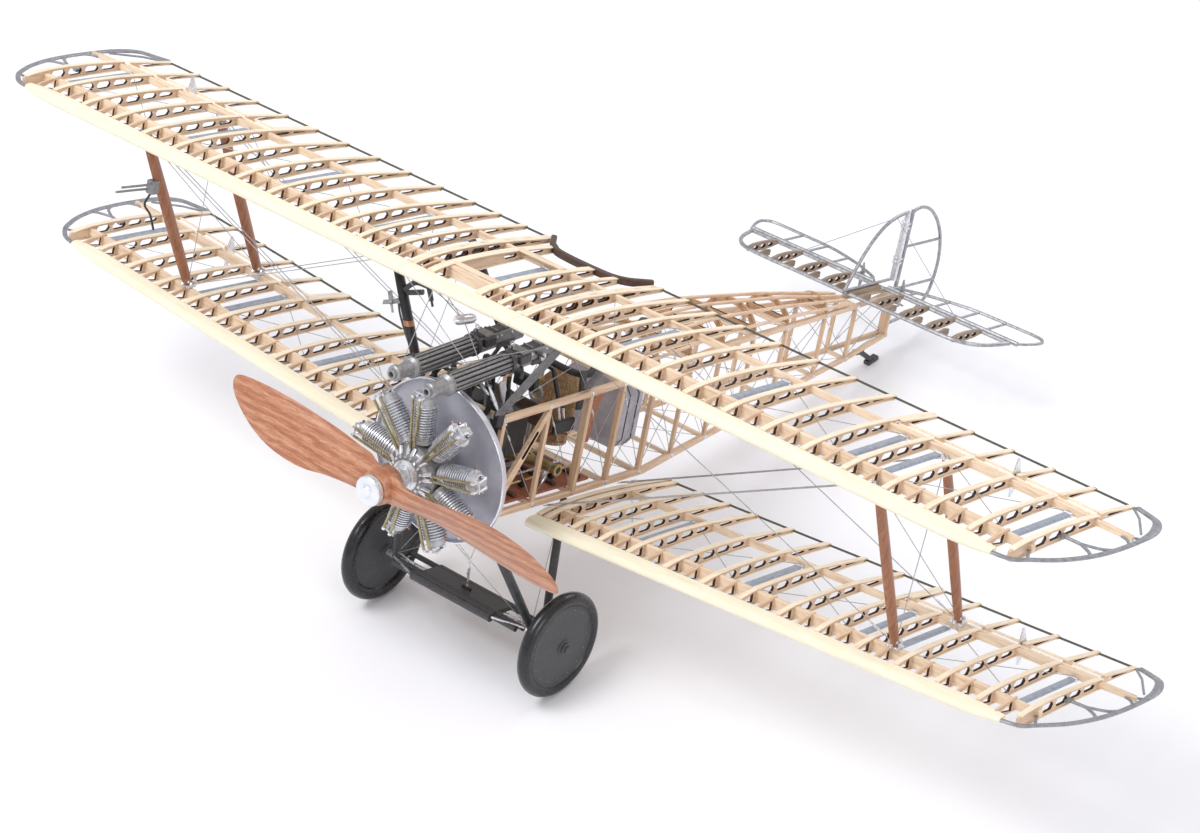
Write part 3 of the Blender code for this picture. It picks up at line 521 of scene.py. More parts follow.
def curve_through(points, count):
    """Smooth line of count points through the given ones (Catmull-Rom)."""
    p = np.asarray(points, float)
    padded = np.vstack([2 * p[0] - p[1], p, 2 * p[-1] - p[-2]])
    out = []
    for t in np.linspace(0.0, len(p) - 1.0001, count):
        i = int(t)
        f = t - i
        a, b, c, d = padded[i:i + 4]
        out.append(0.5 * (2 * b + (c - a) * f + (2 * a - 5 * b + 4 * c - d) * f * f
                          + (3 * b - a - 3 * c + d) * f ** 3))
    return np.array(out)


# ---------------------------------------------------------------- wings

CHORD = 85.7
STAGGER = 38.0
LOWER_Z = -91.0
DIHEDRAL = radians(4.35)
DIHEDRAL_X = 26.5
STRIP_END = 243.0
FRONT_SPAR, REAR_SPAR, FALSE_SPAR, HINGE = 14.0, 56.0, 58.6, 60.9
RIBS = [28.95, 42.0, 56.0, 70.0] + [70.0 + 17.8 * i for i in range(1, 11)]
AILERON = (160.4, 247.4)
RIB_WIDTH = 1.2
TOP = [(0.5, 1.2), (4, 2.5), (8, 3.2), (14, 3.8), (25, 4.2), (38, 4.1), (52, 3.4), (66, 2.2),
       (78, 0.9), (85.7, 0.1)]
BELOW = [(0.5, -1.2), (4, -1.7), (10, -1.6), (20, -1.1), (40, -0.4), (60, -0.2), (75, -0.4),
         (85.7, -0.9)]


def over(y):
    return float(np.interp(y, [p[0] for p in TOP], [p[1] for p in TOP]))


def under(y):
    return float(np.interp(y, [p[0] for p in BELOW], [p[1] for p in BELOW]))


def slot(y0, y1, margin, share=1.0):
    """Round-ended slot that follows the rib's own depth."""
    out = []
    for side in (1, -1):
        line = np.linspace(y0, y1, 9) if side > 0 else np.linspace(y1, y0, 9)
        for k, y in enumerate(line):
            t = abs(2 * k / 8 - 1)
            full = sqrt(max(0.0, 1 - max(0.0, (t - 0.55) / 0.45) ** 2.4))
            middle = (over(y) + under(y)) / 2
            half = ((over(y) - under(y)) / 2 - margin) * full * share
            out.append((y, middle + side * max(half, 0.02)))
    return out[:9] + out[10:-1]


def nose_hole(y0, y1, margin):
    low = under((y0 + y1) / 2) + margin
    return [(y0, 0.2), (y1, over(y1) - margin), (y1, low)]


def rib_outline(y0, y1, count=22):
    line = np.linspace(y0, y1, count)
    return [(y, over(y)) for y in line] + [(y, under(y)) for y in line[::-1]]


FRONT_HOLES = [nose_hole(4.4, 11.6, 0.75)]
MAIN_HOLES = [slot(17.0 + 9.4 * i, 24.8 + 9.4 * i, 0.95) for i in range(4)]
TAIL_HOLES = [slot(59.6, 69.2, 0.72), slot(71.0, 78.6, 0.62)]


def cap(y0, y1, top, width=2.3, thick=0.42):
    line = np.linspace(y0, y1, 16)
    height = over if top else under
    shift = thick / 2 if top else -thick / 2
    return bar([(0.0, y, height(y) + shift) for y in line], width, thick, UP, 0.1)


def wing_matrix(level, side):
    mirror = Matrix.Diagonal((side, 1.0, 1.0, 1.0))
    if level == "upper":
        return mirror
    return (mirror @ Matrix.Translation((DIHEDRAL_X, STAGGER, LOWER_Z))
            @ Matrix.Rotation(-DIHEDRAL, 4, "Y") @ Matrix.Translation((-DIHEDRAL_X, 0, 0)))


STRIP_SECTION = [(3.5, -1.5), (1.5, -2.0), (-0.8, -2.1), (-2.5, -1.75), (-3.6, -1.0),
                 (-3.95, 0.0), (-3.6, 1.0), (-2.5, 1.8), (-0.8, 2.2), (1.5, 2.35), (3.5, 2.2)]


def leading_strip(x0, x1, tapers):
    xs = [x0, x1 - 18.0, x1 - 9.0, x1 - 3.0, x1] if tapers else [x0, x1]
    ks = [1.0, 1.0, 0.86, 0.66, 0.5] if tapers else [1.0, 1.0]
    rings = []
    for x, k in zip(xs, ks):
        rings += [(x, y * k + (1 - k) * 1.5, z * k) for y, z in STRIP_SECTION]
    return rings, skin(len(xs), len(STRIP_SECTION))


def spar_bar(y, x0, x1, width, depth=1.0):
    middle = (over(y) + under(y)) / 2
    height = (over(y) - under(y) - 0.5) * depth
    xs = [x0, x1 - 24, x1] if x1 > 240 else [x0, x1]
    scale = [1, 1, 0.6] if x1 > 240 else None
    return sweep([(x, y, middle) for x in xs], slab(width, height, 0.2), UP, scale, False,
                 [1] * len(xs))


def compression_strut(shape, x, y0=FRONT_SPAR + 1.2, y1=REAR_SPAR - 1.1, wide=3.0, z=0.5):
    """Flat board between the spars, with a metal cap at each end."""
    points = [(x, y0 + 1.2, z), (x, y1 - 1.2, z)]
    shape.add(bar(points, wide, 1.3, UP, 0.3), 0)
    for y, step in ((y0, 1.6), (y1, -1.6)):
        shape.add(block((x - wide / 2 - 0.3, min(y, y + step), z - 0.9),
                        (x + wide / 2 + 0.3, max(y, y + step), z + 0.9)), 1)


def wires(shape, pairs, radius=0.13, look=0):
    for a, b in pairs:
        shape.add(tube([a, b], radius, 5), look)


def turnbuckle(shape, a, b, t=0.1, length=5.0, radius=0.42, look=0):
    a, b = np.asarray(a, float), np.asarray(b, float)
    d = unit(b - a)
    middle = a + (b - a) * t
    line = [middle - d * length / 2, middle - d * length / 5, middle + d * length / 5,
            middle + d * length / 2]
    shape.add(tube(line, [radius * 0.45, radius, radius, radius * 0.45], 7), look)


BOW = [(243.3, -0.4), (247.2, 0.3), (250.8, 2.2), (254.4, 5.4), (258.0, 11.5), (261.4, 19.0),
       (264.6, 31.0), (266.0, 44.0), (266.1, 58.0), (264.6, 70.0), (260.5, 79.0),
       (254.5, 83.6), (248.4, 85.6)]


def trailing_wires(shape, x0, x1, clips, place):
    """Two parallel wires along the trailing edge, clipped to each rib's tail."""
    for dy, dz in ((-0.8, 0.15), (0.65, -0.15)):
        shape.add(tube([(x0, CHORD + dy, -0.4 + dz), (x1, CHORD + dy, -0.4 + dz)], 0.32, 6), 0,
                  place)
    for x in clips:
        shape.add(block((x - 1.0, CHORD - 1.4, -0.95), (x + 1.0, CHORD + 0.95, 0.2)), 1, place)


def make_wing(level, side_name, side):
    place = wing_matrix(level, side)
    name = f"{level}_wing_{side_name}"
    root = 28.3 if level == "upper" else 24.5
    ribs = Shape()
    stations = list(RIBS) + ([25.2] if level == "lower" else [])
    for x in stations:
        short = x > AILERON[0]
        start = 2.4 if x > STRIP_END else 0.6
        end = FALSE_SPAR if short else CHORD
        holes = ([] if x > STRIP_END else FRONT_HOLES) + MAIN_HOLES
        if not short:
            holes = holes + TAIL_HOLES
        at = place @ Matrix.Translation((x, 0, 0))
        ribs.add(plate(rib_outline(start, end), holes, RIB_WIDTH), 0, at)
        for top in (True, False):
            pts, faces = cap(3.4, end - 0.3, top)
            ribs.add((pts, faces, [2] * len(faces)), 2, at)
    whole = sorted(RIBS)
    noses = [(a + b) / 2 for a, b in zip(whole, whole[1:])]
    for x in noses:
        at = place @ Matrix.Translation((x, 0, 0))
        ribs.add(plate(rib_outline(0.6, FRONT_SPAR + 1.0, 8), [nose_hole(4.2, 11.8, 0.7)], 1.0),
                 0, at)
    piece(name + "_ribs", ribs, ["rib", "burnt", "cap"], "airframe", [name], 40)

    wood_work = Shape()
    wood_work.add(spar_bar(FRONT_SPAR, root, 250.4, 2.1), 0, place)
    wood_work.add(spar_bar(REAR_SPAR, root, 264.4, 1.6), 0, place)
    wood_work.add(spar_bar(FALSE_SPAR, AILERON[0] - 1.6, 263.0, 0.6, 0.7), 0, place)
    piece(name + "_spars", wood_work, ["spar"], "airframe")

    strip = Shape()
    strip.add(leading_strip(root, STRIP_END, True), 0, place)
    piece(name + "_leading_strip", strip, ["strip"], "airframe", (), 50)

    trim = Shape()
    trailing_wires(trim, root, AILERON[0] - 0.6, [x for x in stations if x < AILERON[0]], place)
    piece(name + "_trailing_wires", trim, ["olive_wire", "brass"], "airframe")

    inner = Shape()
    for x in (63.0, 114.5, 168.0, 183.6, 239.0):
        compression_strut(inner, x)
    for a, b in ((30.5, 63.0), (63.0, 114.5), (114.5, 168.0), (186.5, 239.0)):
        wires(inner, [((a, FRONT_SPAR + 1, 1.0), (b, REAR_SPAR - 1, 1.4)),
                      ((a, REAR_SPAR - 1, 1.0), (b, FRONT_SPAR + 1, 1.4))], 0.17, 2)
    inner.place(place)
    piece(name + "_bracing", inner, ["blue", "silver", "wire"], "airframe")

    bow = Shape()
    outline = curve_through([(x, y, 0.9 if 3 < y < 80 else 0.1) for x, y in BOW], 40)
    # the strip broadens round the rear corner
    broad = [1.0 + 0.75 * max(0.0, 1.0 - abs(y - 74.0) / 16.0) for y in outline[:, 1]]
    bow.add(sweep(outline, slab(2.1, 0.9, 0.2), UP, [1.0] * len(outline), False, broad), 0, place)
    # forked bracket from the last rib, a stay by the front spar, a fork in line with the rear
    # spar and a stay across the rear corner
    bow.add(bar([(249.0, 34.0, 1.2), (257.5, 34.4, 1.1)], 1.5, 0.9), 0, place)
    bow.add(bar([(248.8, 34.0, 1.2), (250.6, 34.0, 1.2)], 4.0, 1.0), 0, place)
    for end in ((264.2, 27.8, 0.9), (265.2, 41.6, 0.9)):
        middle = ((257.5 + end[0]) / 2 + 1.4, (34.4 + end[1]) / 2, 1.0)
        bow.add(bar(curve_through([(256.6, 34.4, 1.1), middle, end], 8), 1.3, 0.8), 0, place)
    bow.add(bar([(249.4, 13.0, 0.4), (253.2, 6.0, 0.6)], 1.2, 0.8), 0, place)
    for sign in (-1, 1):
        prong = [(260.5, REAR_SPAR + sign, 1.1), (263.0, REAR_SPAR + sign * 1.8, 1.1),
                 (265.6, REAR_SPAR + sign * 4.0, 0.9)]
        bow.add(bar(curve_through(prong, 8), 1.1, 0.8), 0, place)
    bow.add(bar([(248.0, 84.0, 0.0), (255.0, 76.0, 0.8), (263.0, 64.0, 1.0)], 0.9, 0.8), 0, place)
    piece(f"{level}_tip_bow_{side_name}_strip", bow, ["strap_grey"], "airframe",
          [f"{level}_tip_bow_{side_name}"])
    make_aileron(level, side_name, place)


def make_aileron(level, side_name, place):
    name = f"{level}_aileron_{side_name}"
    x0, x1 = AILERON
    shape = Shape()
    for x in [x0 + 0.7, 176.8, 194.6, 212.4, 230.2, x1 - 0.7]:
        at = place @ Matrix.Translation((x, 0, 0))
        shape.add(plate(rib_outline(HINGE + 0.4, CHORD, 10), [slot(66.6, 79.0, 0.62)], RIB_WIDTH),
                  0, at)
        pts, faces = cap(HINGE + 1.0, CHORD - 0.6, True, 2.1, 0.36)
        shape.add((pts, faces, [2] * len(faces)), 2, at)
    for y, height in ((HINGE + 0.2, 1.3), (HINGE + 4.8, 1.1)):
        middle = (over(y) + under(y)) / 2
        pts, faces = sweep([(x0, y, middle), (x1, y, middle)], slab(0.8, height, 0.2))
        shape.add((pts, faces, [2] * len(faces)), 2, place)
    piece(name + "_frame", shape, ["rib", "burnt", "cap"], name, [name], 40)
    metal = Shape()
    trailing_wires(metal, x0 + 0.1, x1 - 0.1, (176.8, 194.6, 212.4, 230.2), place)
    horn = [(HINGE - 0.6, 1.0), (HINGE + 0.8, 8.4), (HINGE + 1.8, 8.4), (HINGE + 5.2, 1.2),
            (HINGE + 5.2, -0.4), (HINGE + 1.6, -6.6), (HINGE + 0.6, -6.6), (HINGE - 0.6, 0.0)]
    metal.add(plate(horn, [], 0.5, 2, 2, 2), 2, place @ Matrix.Translation((210.8, 0, 0)))
    piece(name + "_metal", metal, ["olive_wire", "brass", "silver"], name)


def make_centre():
    ribs = Shape()
    main = [(-27.3, 84.0, 2.3), (-18.6, 75.0, 3.4), (5.5, 70.8, 3.4), (16.4, 72.8, 2.3),
            (27.3, 84.0, 2.3)]
    for x, last, wide in main:
        at = Matrix.Translation((x, 0, 0))
        tails = [TAIL_HOLES[0]] if last < 80 else TAIL_HOLES
        holes = FRONT_HOLES + (MAIN_HOLES[-1:] if x == -18.6 else MAIN_HOLES) + tails
        ribs.add(plate(rib_outline(0.6, last), holes, RIB_WIDTH), 0, at)
        for top in (True, False):
            pts, faces = cap(3.4, last - 0.3, top, wide)
            ribs.add((pts, faces, [2] * len(faces)), 2, at)
    for x in (-23.0, 11.0, 21.8):
        ribs.add(plate(rib_outline(0.6, FRONT_SPAR + 1.0, 8), [nose_hole(4.2, 11.8, 0.7)], 1.0),
                 0, Matrix.Translation((x, 0, 0)))
    piece("upper_centre_ribs", ribs, ["rib", "burnt", "cap"], "airframe",
          ["upper_centre_section"], 40)
    woodwork = Shape()
    woodwork.add(spar_bar(FRONT_SPAR, -28.1, 28.1, 2.1))
    woodwork.add(spar_bar(REAR_SPAR, -28.1, 28.1, 1.9))
    for y, wide in ((16.4, 2.8), (53.6, 3.2)):
        woodwork.add(bar([(-17.8, y, 3.9), (4.9, y, 3.9)], wide, 0.8))
    piece("upper_centre_spars", woodwork, ["spar"], "airframe")
    strip = Shape()
    strip.add(leading_strip(-28.15, 28.15, False))
    piece("upper_centre_leading_strip", strip, ["strip"], "airframe", (), 50)
    inner = Shape()
    for x in (-23.0, -4.0, 22.0):
        compression_strut(inner, x)
    for s, x0 in ((-1, 19), (1, 7)):
        wires(inner, [((s * x0, 15, 1.2), (s * 27, 55, 1.4)), ((s * x0, 55, 1.2), (s * 27, 15, 1.4))],
              0.17, 2)
    piece("upper_centre_bracing", inner, ["blue", "silver", "wire"], "airframe")
    trim = Shape()
    path = [(-25.6, 84.2), (-22.8, 80.6), (-20.6, 77.6), (-18.6, 76.2), (-14.0, 73.2), (-7.0, 72.2),
            (0.0, 72.0), (7.0, 72.1), (14.0, 72.8), (19.4, 75.6), (22.8, 80.0), (25.6, 84.2)]
    trim.add(sweep(curve_through([(x, y, 0.9) for x, y in path], 40), slab(2.4, 3.0, 0.4)))
    piece("cutout_trim_bow", trim, ["walnut"], "airframe", ["cutout_trim"])


# ---------------------------------------------------------------- struts and rigging

STRUT_X = 186.0
FOIL = [(-0.5, 0.0), (-0.46, 0.17), (-0.34, 0.36), (-0.15, 0.48), (0.1, 0.5), (0.3, 0.33),
        (0.5, 0.06), (0.5, -0.06), (0.3, -0.33), (0.1, -0.5), (-0.15, -0.48), (-0.34, -0.36),
        (-0.46, -0.17)]


def streamlined(start, end, chord, thick, ends=0.6, stops=13):
    """Strut of streamline section with its long side along Y, slimmer towards both ends."""
    start, end = np.asarray(start, float), np.asarray(end, float)
    rings = []
    for t in np.linspace(0, 1, stops):
        k = ends + (1 - ends) * (1 - abs(2 * t - 1) ** 3)
        middle = start + (end - start) * t
        rings += [middle + np.array([b * thick * k, a * chord * k, 0.0]) for a, b in FOIL]
    return rings, skin(stops, len(FOIL))


def band(shape, start, end, t, chord, thick, length, look):
    start, end = np.asarray(start, float), np.asarray(end, float)
    d = unit(end - start) * length / 2
    middle = start + (end - start) * t
    shape.add(streamlined(middle - d, middle + d, chord, thick, 1.0, 2), look)


CABANE = {"front": ((20.6, 10.4, -42.6), (44.4, 12.4, -2.2)),
          "rear": ((20.6, 62.6, -41.2), (44.4, 56.4, -1.6))}
LOWER_AT = LOWER_Z + (STRUT_X - DIHEDRAL_X) * tan(DIHEDRAL)


def make_struts():
    for side_name, s in SIDES:
        for name, y in (("front", FRONT_SPAR), ("rear", REAR_SPAR)):
            foot = (s * STRUT_X, y + STAGGER, LOWER_AT + over(y) + 0.5)
            head = (s * STRUT_X, y, under(y) - 0.6)
            shape = Shape()
            shape.add(streamlined(foot, head, 6.3, 3.0, 0.8), 0)
            for t in (0.045, 0.955):
                band(shape, foot, head, t, 4.9, 2.5, 4.5, 1)
            node = f"interplane_strut_{name}_{side_name}"
            piece(node + "_wood", shape, ["strut", "silver"], "airframe",
                  [node])
            fit = Shape()
            for x, yy, z in ((foot[0], foot[1], foot[2] - 0.2), (head[0], head[1], head[2] + 0.4)):
                fit.add(block((x - 2.6, yy - 2.6, z - 0.5), (x + 2.6, yy + 2.6, z + 0.5)), 0)
                for dx, dy in ((-2.0, 0.0), (2.0, 0.0), (0.0, -3.2), (0.0, 3.2)):
                    fit.add(turned_at([(0.0, 0.0), (0.9, 0.0), (0.9, 0.9), (0.5, 1.4), (0.0, 1.4)],
                                      8, (x + dx, yy + dy, z + 0.3), UP), 0)
                fit.add(tube([(x - 3.2, yy, z + 0.9), (x + 3.2, yy, z + 0.9)], 0.5, 8), 0)
            piece(node + "_fittings", fit, ["silver"], "airframe")
        for name, (foot, head) in CABANE.items():
            shape = Shape()
            a = (s * foot[0], foot[1], foot[2])
            b = (s * head[0], head[1], head[2])
            shape.add(streamlined(a, b, 5.4, 3.3, 0.75), 0)
            band(shape, a, b, 0.05, 4.6, 3.2, 3.0, 0)
            node = f"cabane_strut_{name}_{side_name}"
            # the same strut is lighter grey on the port side, nearer the camera, and black on the
            # starboard side: painted light and shade between the two sides
            piece(node + "_tube", shape, ["black" if s < 0 else "lit_side_strut_grey"], "airframe",
                  [node])
    extras = Shape()
    a, b = [(-x, y, z) for x, y, z in CABANE["front"]]
    band(extras, a, b, 0.44, 5.6, 3.5, 2.2, 2)
    extras.add(tube([(-36.4, 9.6, -17.4), (-36.4, 6.6, -17.4)], 0.8, 8), 1)
    extras.add(tube(curve_through([(-36.4, 9.4, -18), (-34.0, 9.8, -24), (-27.5, 12, -36),
                                   (-22.0, 16, -46)], 16), 0.45, 6), 0)
    clamp = [(-37.0, 12.2, -13.8), (-33.6, 14.4, -9.8), (-29.1, 16.8, -10.1)]
    extras.add(bar(curve_through(clamp, 8), 2.6, 1.8), 0)
    extras.add(bar([(-36.2, 12.8, -14.8), (-30.4, 16.2, -13.0)], 2.4, 1.6), 0)
    extras.add(tube([(-29.4, 16.6, -9.4), (-27.8, 16.8, -12.6), (-26.4, 16.8, -15.2)], 0.95, 8), 0)
    extras.add(tube([(-26.6, 16.8, -14.8), (-25.4, 16.8, -17.2)], 0.5, 8), 0)
    piece("pump_bracket", extras, ["gun_dark", "gun", "copper"], "airframe")


def make_pitot():
    """Two forward prongs on the starboard front strut, fed by a small curved tube."""
    fork = Shape()
    root = Vector((-STRUT_X, 22.6, -28.0))
    for dz, dx in ((0.0, -1.4), (3.0, 1.4)):
        tip = root + Vector((dx, -19.0, dz + 1.0))
        line = [root + Vector((0, 0, dz)), root + Vector((dx, -4.0, dz + 0.2)), tip]
        fork.add(tube(curve_through(line, 8), 0.55, 8), 0)
    fork.add(block((-STRUT_X - 1.9, 20.6, -29.6), (-STRUT_X + 1.9, 24.6, -23.8)), 0)
    fork.add(tube(curve_through([(-STRUT_X, 22.0, -29.4), (-STRUT_X, 19.4, -34.0),
                                 (-STRUT_X, 23.4, -39.0), (-STRUT_X, 26.6, -46.0)], 14), 0.5, 8), 1)
    piece("pitot_fork", fork, ["gun", "black"], "airframe")


def rigging():
    shape = Shape()
    for s in (1, -1):
        for y in (FRONT_SPAR, REAR_SPAR):
            top = (s * (STRUT_X - 1.6), y, under(y) - 0.8)
            low = (s * (STRUT_X - 1.6), y + STAGGER, LOWER_AT + over(y) + 1.2)
            root = (s * 22.4, y + STAGGER - 4 if y < 30 else y + STAGGER, -87.4)
            centre = (s * 44.8, y - (2 if y < 30 else 0), -3.0)
            for dy in (-1.1, 1.1):
                a = (root[0], root[1] + dy, root[2])
                b = (top[0], top[1] + dy, top[2])
                wires(shape, [(a, b)], 0.22, 0)
                turnbuckle(shape, a, b, 0.045, 6.0, 0.5, 1)
            wires(shape, [(centre, low)], 0.2, 0)
            turnbuckle(shape, centre, low, 0.95, 6.0, 0.5, 1)
        tf, tr = (s * STRUT_X, FRONT_SPAR, -3), (s * STRUT_X, REAR_SPAR, -2)
        lf = (s * STRUT_X, FRONT_SPAR + STAGGER, LOWER_AT + 5)
        lr = (s * STRUT_X, REAR_SPAR + STAGGER, LOWER_AT + 5)
        wires(shape, [(tf, lr), (tr, lf)], 0.18, 0)
        wires(shape, [((s * 44.4, 12.4, -4), (s * 20.6, 62.0, -41)),
                      ((s * 44.4, 56.4, -4), (s * 20.6, 11.0, -41))], 0.14, 0)
    wires(shape, [((20.6, 10.4, -41.0), (-44.4, 12.2, -4.0)),
                  ((-20.6, 10.4, -41.0), (44.4, 12.2, -4.0))], 0.18, 0)
    for s in (1, -1):
        a, b = (s * 20.6, 10.4, -41.0), (-s * 44.4, 12.2, -4.0)
        turnbuckle(shape, a, b, 0.16, 9.0, 0.6, 1)
        wires(shape, [((s * 21.6, 14.6, -90.5), (-s * 33.4, 33.0, -129.0)),
                      ((s * 36, 36, -131), (s * 21.2, 60.0, -90.5))], 0.15, 0)
    piece("rigging_wires", shape, ["wire", "silver"], "airframe")


# ---------------------------------------------------------------- engine and propeller

AXIS = Vector((0.0, -4.0, -70.3))
THRUST_TILT = radians(7.0)
THRUST = Matrix.Translation(AXIS) @ Matrix.Rotation(radians(90.0) + THRUST_TILT, 4, "X")
FIRST_CYLINDER = radians(11.8)
CYLINDERS = 9


def make_engine():
    barrel = [(0.0, 11.4), (3.9, 11.4), (3.9, 12.2), (3.4, 12.4), (3.4, 28.0), (3.7, 28.4),
              (3.7, 30.2), (3.0, 30.9), (0.0, 30.9)]
    fins = []
    z = 13.4
    while z < 27.6:
        out = min(4.85, 3.8 + 0.45 * (z - 13.4))
        fins.append([(3.2, z), (out, z + 0.08), (out, z + 0.5), (3.2, z + 0.6)])
        z += 1.12
    for i in range(CYLINDERS):
        turn = Matrix.Rotation(FIRST_CYLINDER + 2 * pi * i / CYLINDERS, 4, "Z")
        out = THRUST @ turn @ Matrix.Rotation(radians(90.0), 4, "Y")
        body = Shape()
        # the barrel takes the duller light_metal look under the bright silver fins; between the fins
        # this darker tone is painted shade
        body.add(turned(barrel, 20), 4, out)
        for fin in fins:
            body.add(turned(fin, 24), 0, out)
        for y in (-1.55, 1.55):
            # push rod at the front, rocker over the head, and the valve spring it presses
            body.add(tube([(-6.0, y * 0.55, 10.4), (-5.3, y * 1.2, 31.0)], 0.58, 8), 1, out)
            body.add(bar([(-5.4, y * 1.15, 31.6), (-2.6, y * 1.1, 32.7), (1.6, y * 1.2, 31.7)],
                         1.0, 0.8), 0, out)
            body.add(turned_at([(0.0, 0.0), (0.95, 0.0), (0.95, 1.2), (0.7, 1.4), (0.0, 1.4)], 10,
                               (1.6, y * 1.2, 30.4), UP), 0, out)
            body.add(peg(0.75, 1.1, 8, (-5.2, y * 1.15, 30.9), UP), 0, out)
            body.add(block((-3.6, y - 0.6, 30.4), (-1.8, y + 0.6, 32.2)), 0, out)
            # stud, nut and return spring beside each rocker
            body.add(tube([(-0.6, y * 1.9, 30.2), (-0.6, y * 1.9, 32.0)], 0.3, 6), 0, out)
            body.add(peg(0.6, 0.6, 6, (-0.6, y * 1.9, 31.0), UP), 2, out)
        body.add(tube([(-3.4, -2.6, 32.6), (-3.4, 2.6, 32.6)], 0.45, 8), 0, out)
        pipe = [(6.2, 0.0, 8.4), (5.6, 0.0, 13.0), (5.5, 0.0, 24.0), (4.4, 0.2, 28.8)]
        body.add(tube(curve_through(pipe, 10), 0.95, 8), 0, out)
        body.add(tube([(0.4, 3.2, 27.0), (0.4, 5.0, 27.4)], 0.55, 8), 0, out)
        body.add(tube([(0.4, 4.9, 27.4), (0.4, 5.9, 27.7)], 0.5, 6), 3, out)
        piece(f"cylinder_{i + 1}_finned", body, ["silver", "rod", "gun_dark", "copper", "light_metal"],
              "engine", [f"cylinder_{i + 1}"])
    case = Shape()
    case.add(turned([(2.6, -8.6), (7.0, -8.6), (9.6, -7.0), (10.8, -6.4), (11.3, -5.8),
                     (11.3, -5.0), (10.9, -4.6), (10.9, 3.6), (11.2, 4.0), (11.2, 4.8),
                     (9.4, 5.4), (8.6, 6.2), (8.2, 7.6), (6.4, 8.4), (2.6, 8.4)], 36), 1, THRUST)
    case.add(turned([(2.6, 8.2), (6.0, 8.2), (6.0, 8.9), (4.8, 9.6), (4.8, 10.6), (4.4, 10.8),
                     (4.4, 15.8), (0.6, 15.8), (0.6, 2.0), (2.6, 2.0)], 36), 0, THRUST)
    for i in range(18):
        a = 2 * pi * i / 18
        case.add(peg(0.55, 0.7, 6, (7.2 * cos(a), 7.2 * sin(a), 7.9), UP), 0, THRUST)
    for i in range(CYLINDERS):
        a = FIRST_CYLINDER + 2 * pi * i / CYLINDERS
        for side in (-1, 1):
            b = a + side * 0.13
            case.add(tube([(7.6 * cos(b), 7.6 * sin(b), 7.2), (10.9 * cos(b), 10.9 * sin(b), 5.6)],
                          0.75, 8), 0, THRUST)
    piece("crankcase_cast", case, ["silver", "gun"], "engine", ["crankcase"])

    back = Shape()
    back.add(turned([(2.95, -12.3), (32.0, -12.3), (32.8, -11.9), (33.2, -11.1), (33.2, -9.8),
                     (32.8, -9.3), (32.4, -9.5), (32.3, -10.6), (31.6, -11.1), (14.0, -11.1),
                     (13.0, -10.7), (9.0, -10.7), (8.0, -11.1), (2.95, -11.1)], 96), 0, THRUST)
    ring = [(32.9 * cos(a), 32.9 * sin(a), -9.5) for a in np.linspace(0, 2 * pi, 96, False)]
    back.add(tube(ring, 0.42, 8, True), 1, THRUST)
    piece("engine_backplate_disc", back, ["sheet", "rim"], "airframe",
          ["engine_backplate"], 50)


# Radius, chord, thickness, blade angle in degrees and forward sweep of the mid-line
BLADE = [(-2.0, 13.0, 7.0, 0.0, 0.0), (6.0, 13.4, 7.3, 10.0, -0.3), (12.0, 14.4, 8.6, 33.0, -0.5),
         (18.0, 15.4, 6.6, 36.0, -0.3), (27.0, 17.6, 4.3, 34.0, 0.0), (38.0, 20.6, 3.1, 30.0, 0.9),
         (50.0, 21.6, 2.3, 25.5, 1.0), (60.0, 20.6, 1.9, 22.5, 0.6), (68.0, 18.2, 1.6, 20.5, -0.3),
         (74.0, 15.4, 1.4, 19.0, -1.3), (79.0, 12.0, 1.2, 18.0, -2.4), (82.6, 8.6, 1.0, 17.0, -3.4),
         (84.7, 5.2, 0.8, 16.5, -4.1), (85.5, 2.0, 0.5, 16.0, -4.4)]
# Aft of the propeller's zero, the blades stand by the first and lean by the second per mm of radius
BLADE_BACK = 2.0
BLADE_RAKE = 0.03
PROP_FORWARD = 22.5
PROP_ANGLE = radians(-2.5)
PROP_AT = THRUST @ Matrix.Translation((0, 0, PROP_FORWARD)) @ Matrix.Rotation(PROP_ANGLE, 4, "Z")


def make_propeller():
    section = [(-0.5, 0.0), (-0.44, 0.2), (-0.3, 0.36), (-0.1, 0.48), (0.1, 0.46), (0.3, 0.3),
               (0.44, 0.12), (0.5, 0.0), (0.42, -0.14), (0.25, -0.24), (0.0, -0.3),
               (-0.25, -0.26), (-0.42, -0.14)]
    stops = curve_through(BLADE, 44)
    stops = np.vstack([stops, BLADE[-1]])
    shape = Shape()
    for half in range(2):
        spin = PROP_AT @ Matrix.Rotation(pi * half, 4, "Z")
        rings = []
        for r, chord, thick, pitch, lead in stops:
            turn = Matrix.Rotation(radians(pitch), 4, "X")
            back = Vector((0.0, 0.0, -BLADE_BACK - BLADE_RAKE * r))
            rings += [turn @ Vector((r, a * chord + lead, b * thick)) + back for a, b in section]
        shape.add(([list(p) for p in rings], skin(len(stops), len(section))), 0, spin)
    shape.add(turned([(0.0, -6.2), (6.2, -6.2), (7.0, -5.4), (7.1, 0.0), (6.7, 3.3), (6.2, 3.9),
                      (0.0, 3.9)], 40), 0, PROP_AT)
    piece("propeller_blades", shape, ["mahogany"], "engine", ["propeller"], 50)
    hub = Shape()
    hub.add(turned([(0.0, 4.1), (5.6, 4.1), (6.0, 4.4), (6.0, 6.6), (5.6, 7.1), (4.4, 7.2),
                    (2.6, 7.25), (2.2, 7.5), (1.9, 8.1), (0.0, 8.2)], 40), 0, PROP_AT)
    piece("propeller_hub_flange", hub, ["hub"], "engine", ["propeller_hub"])


# ---------------------------------------------------------------- fuselage

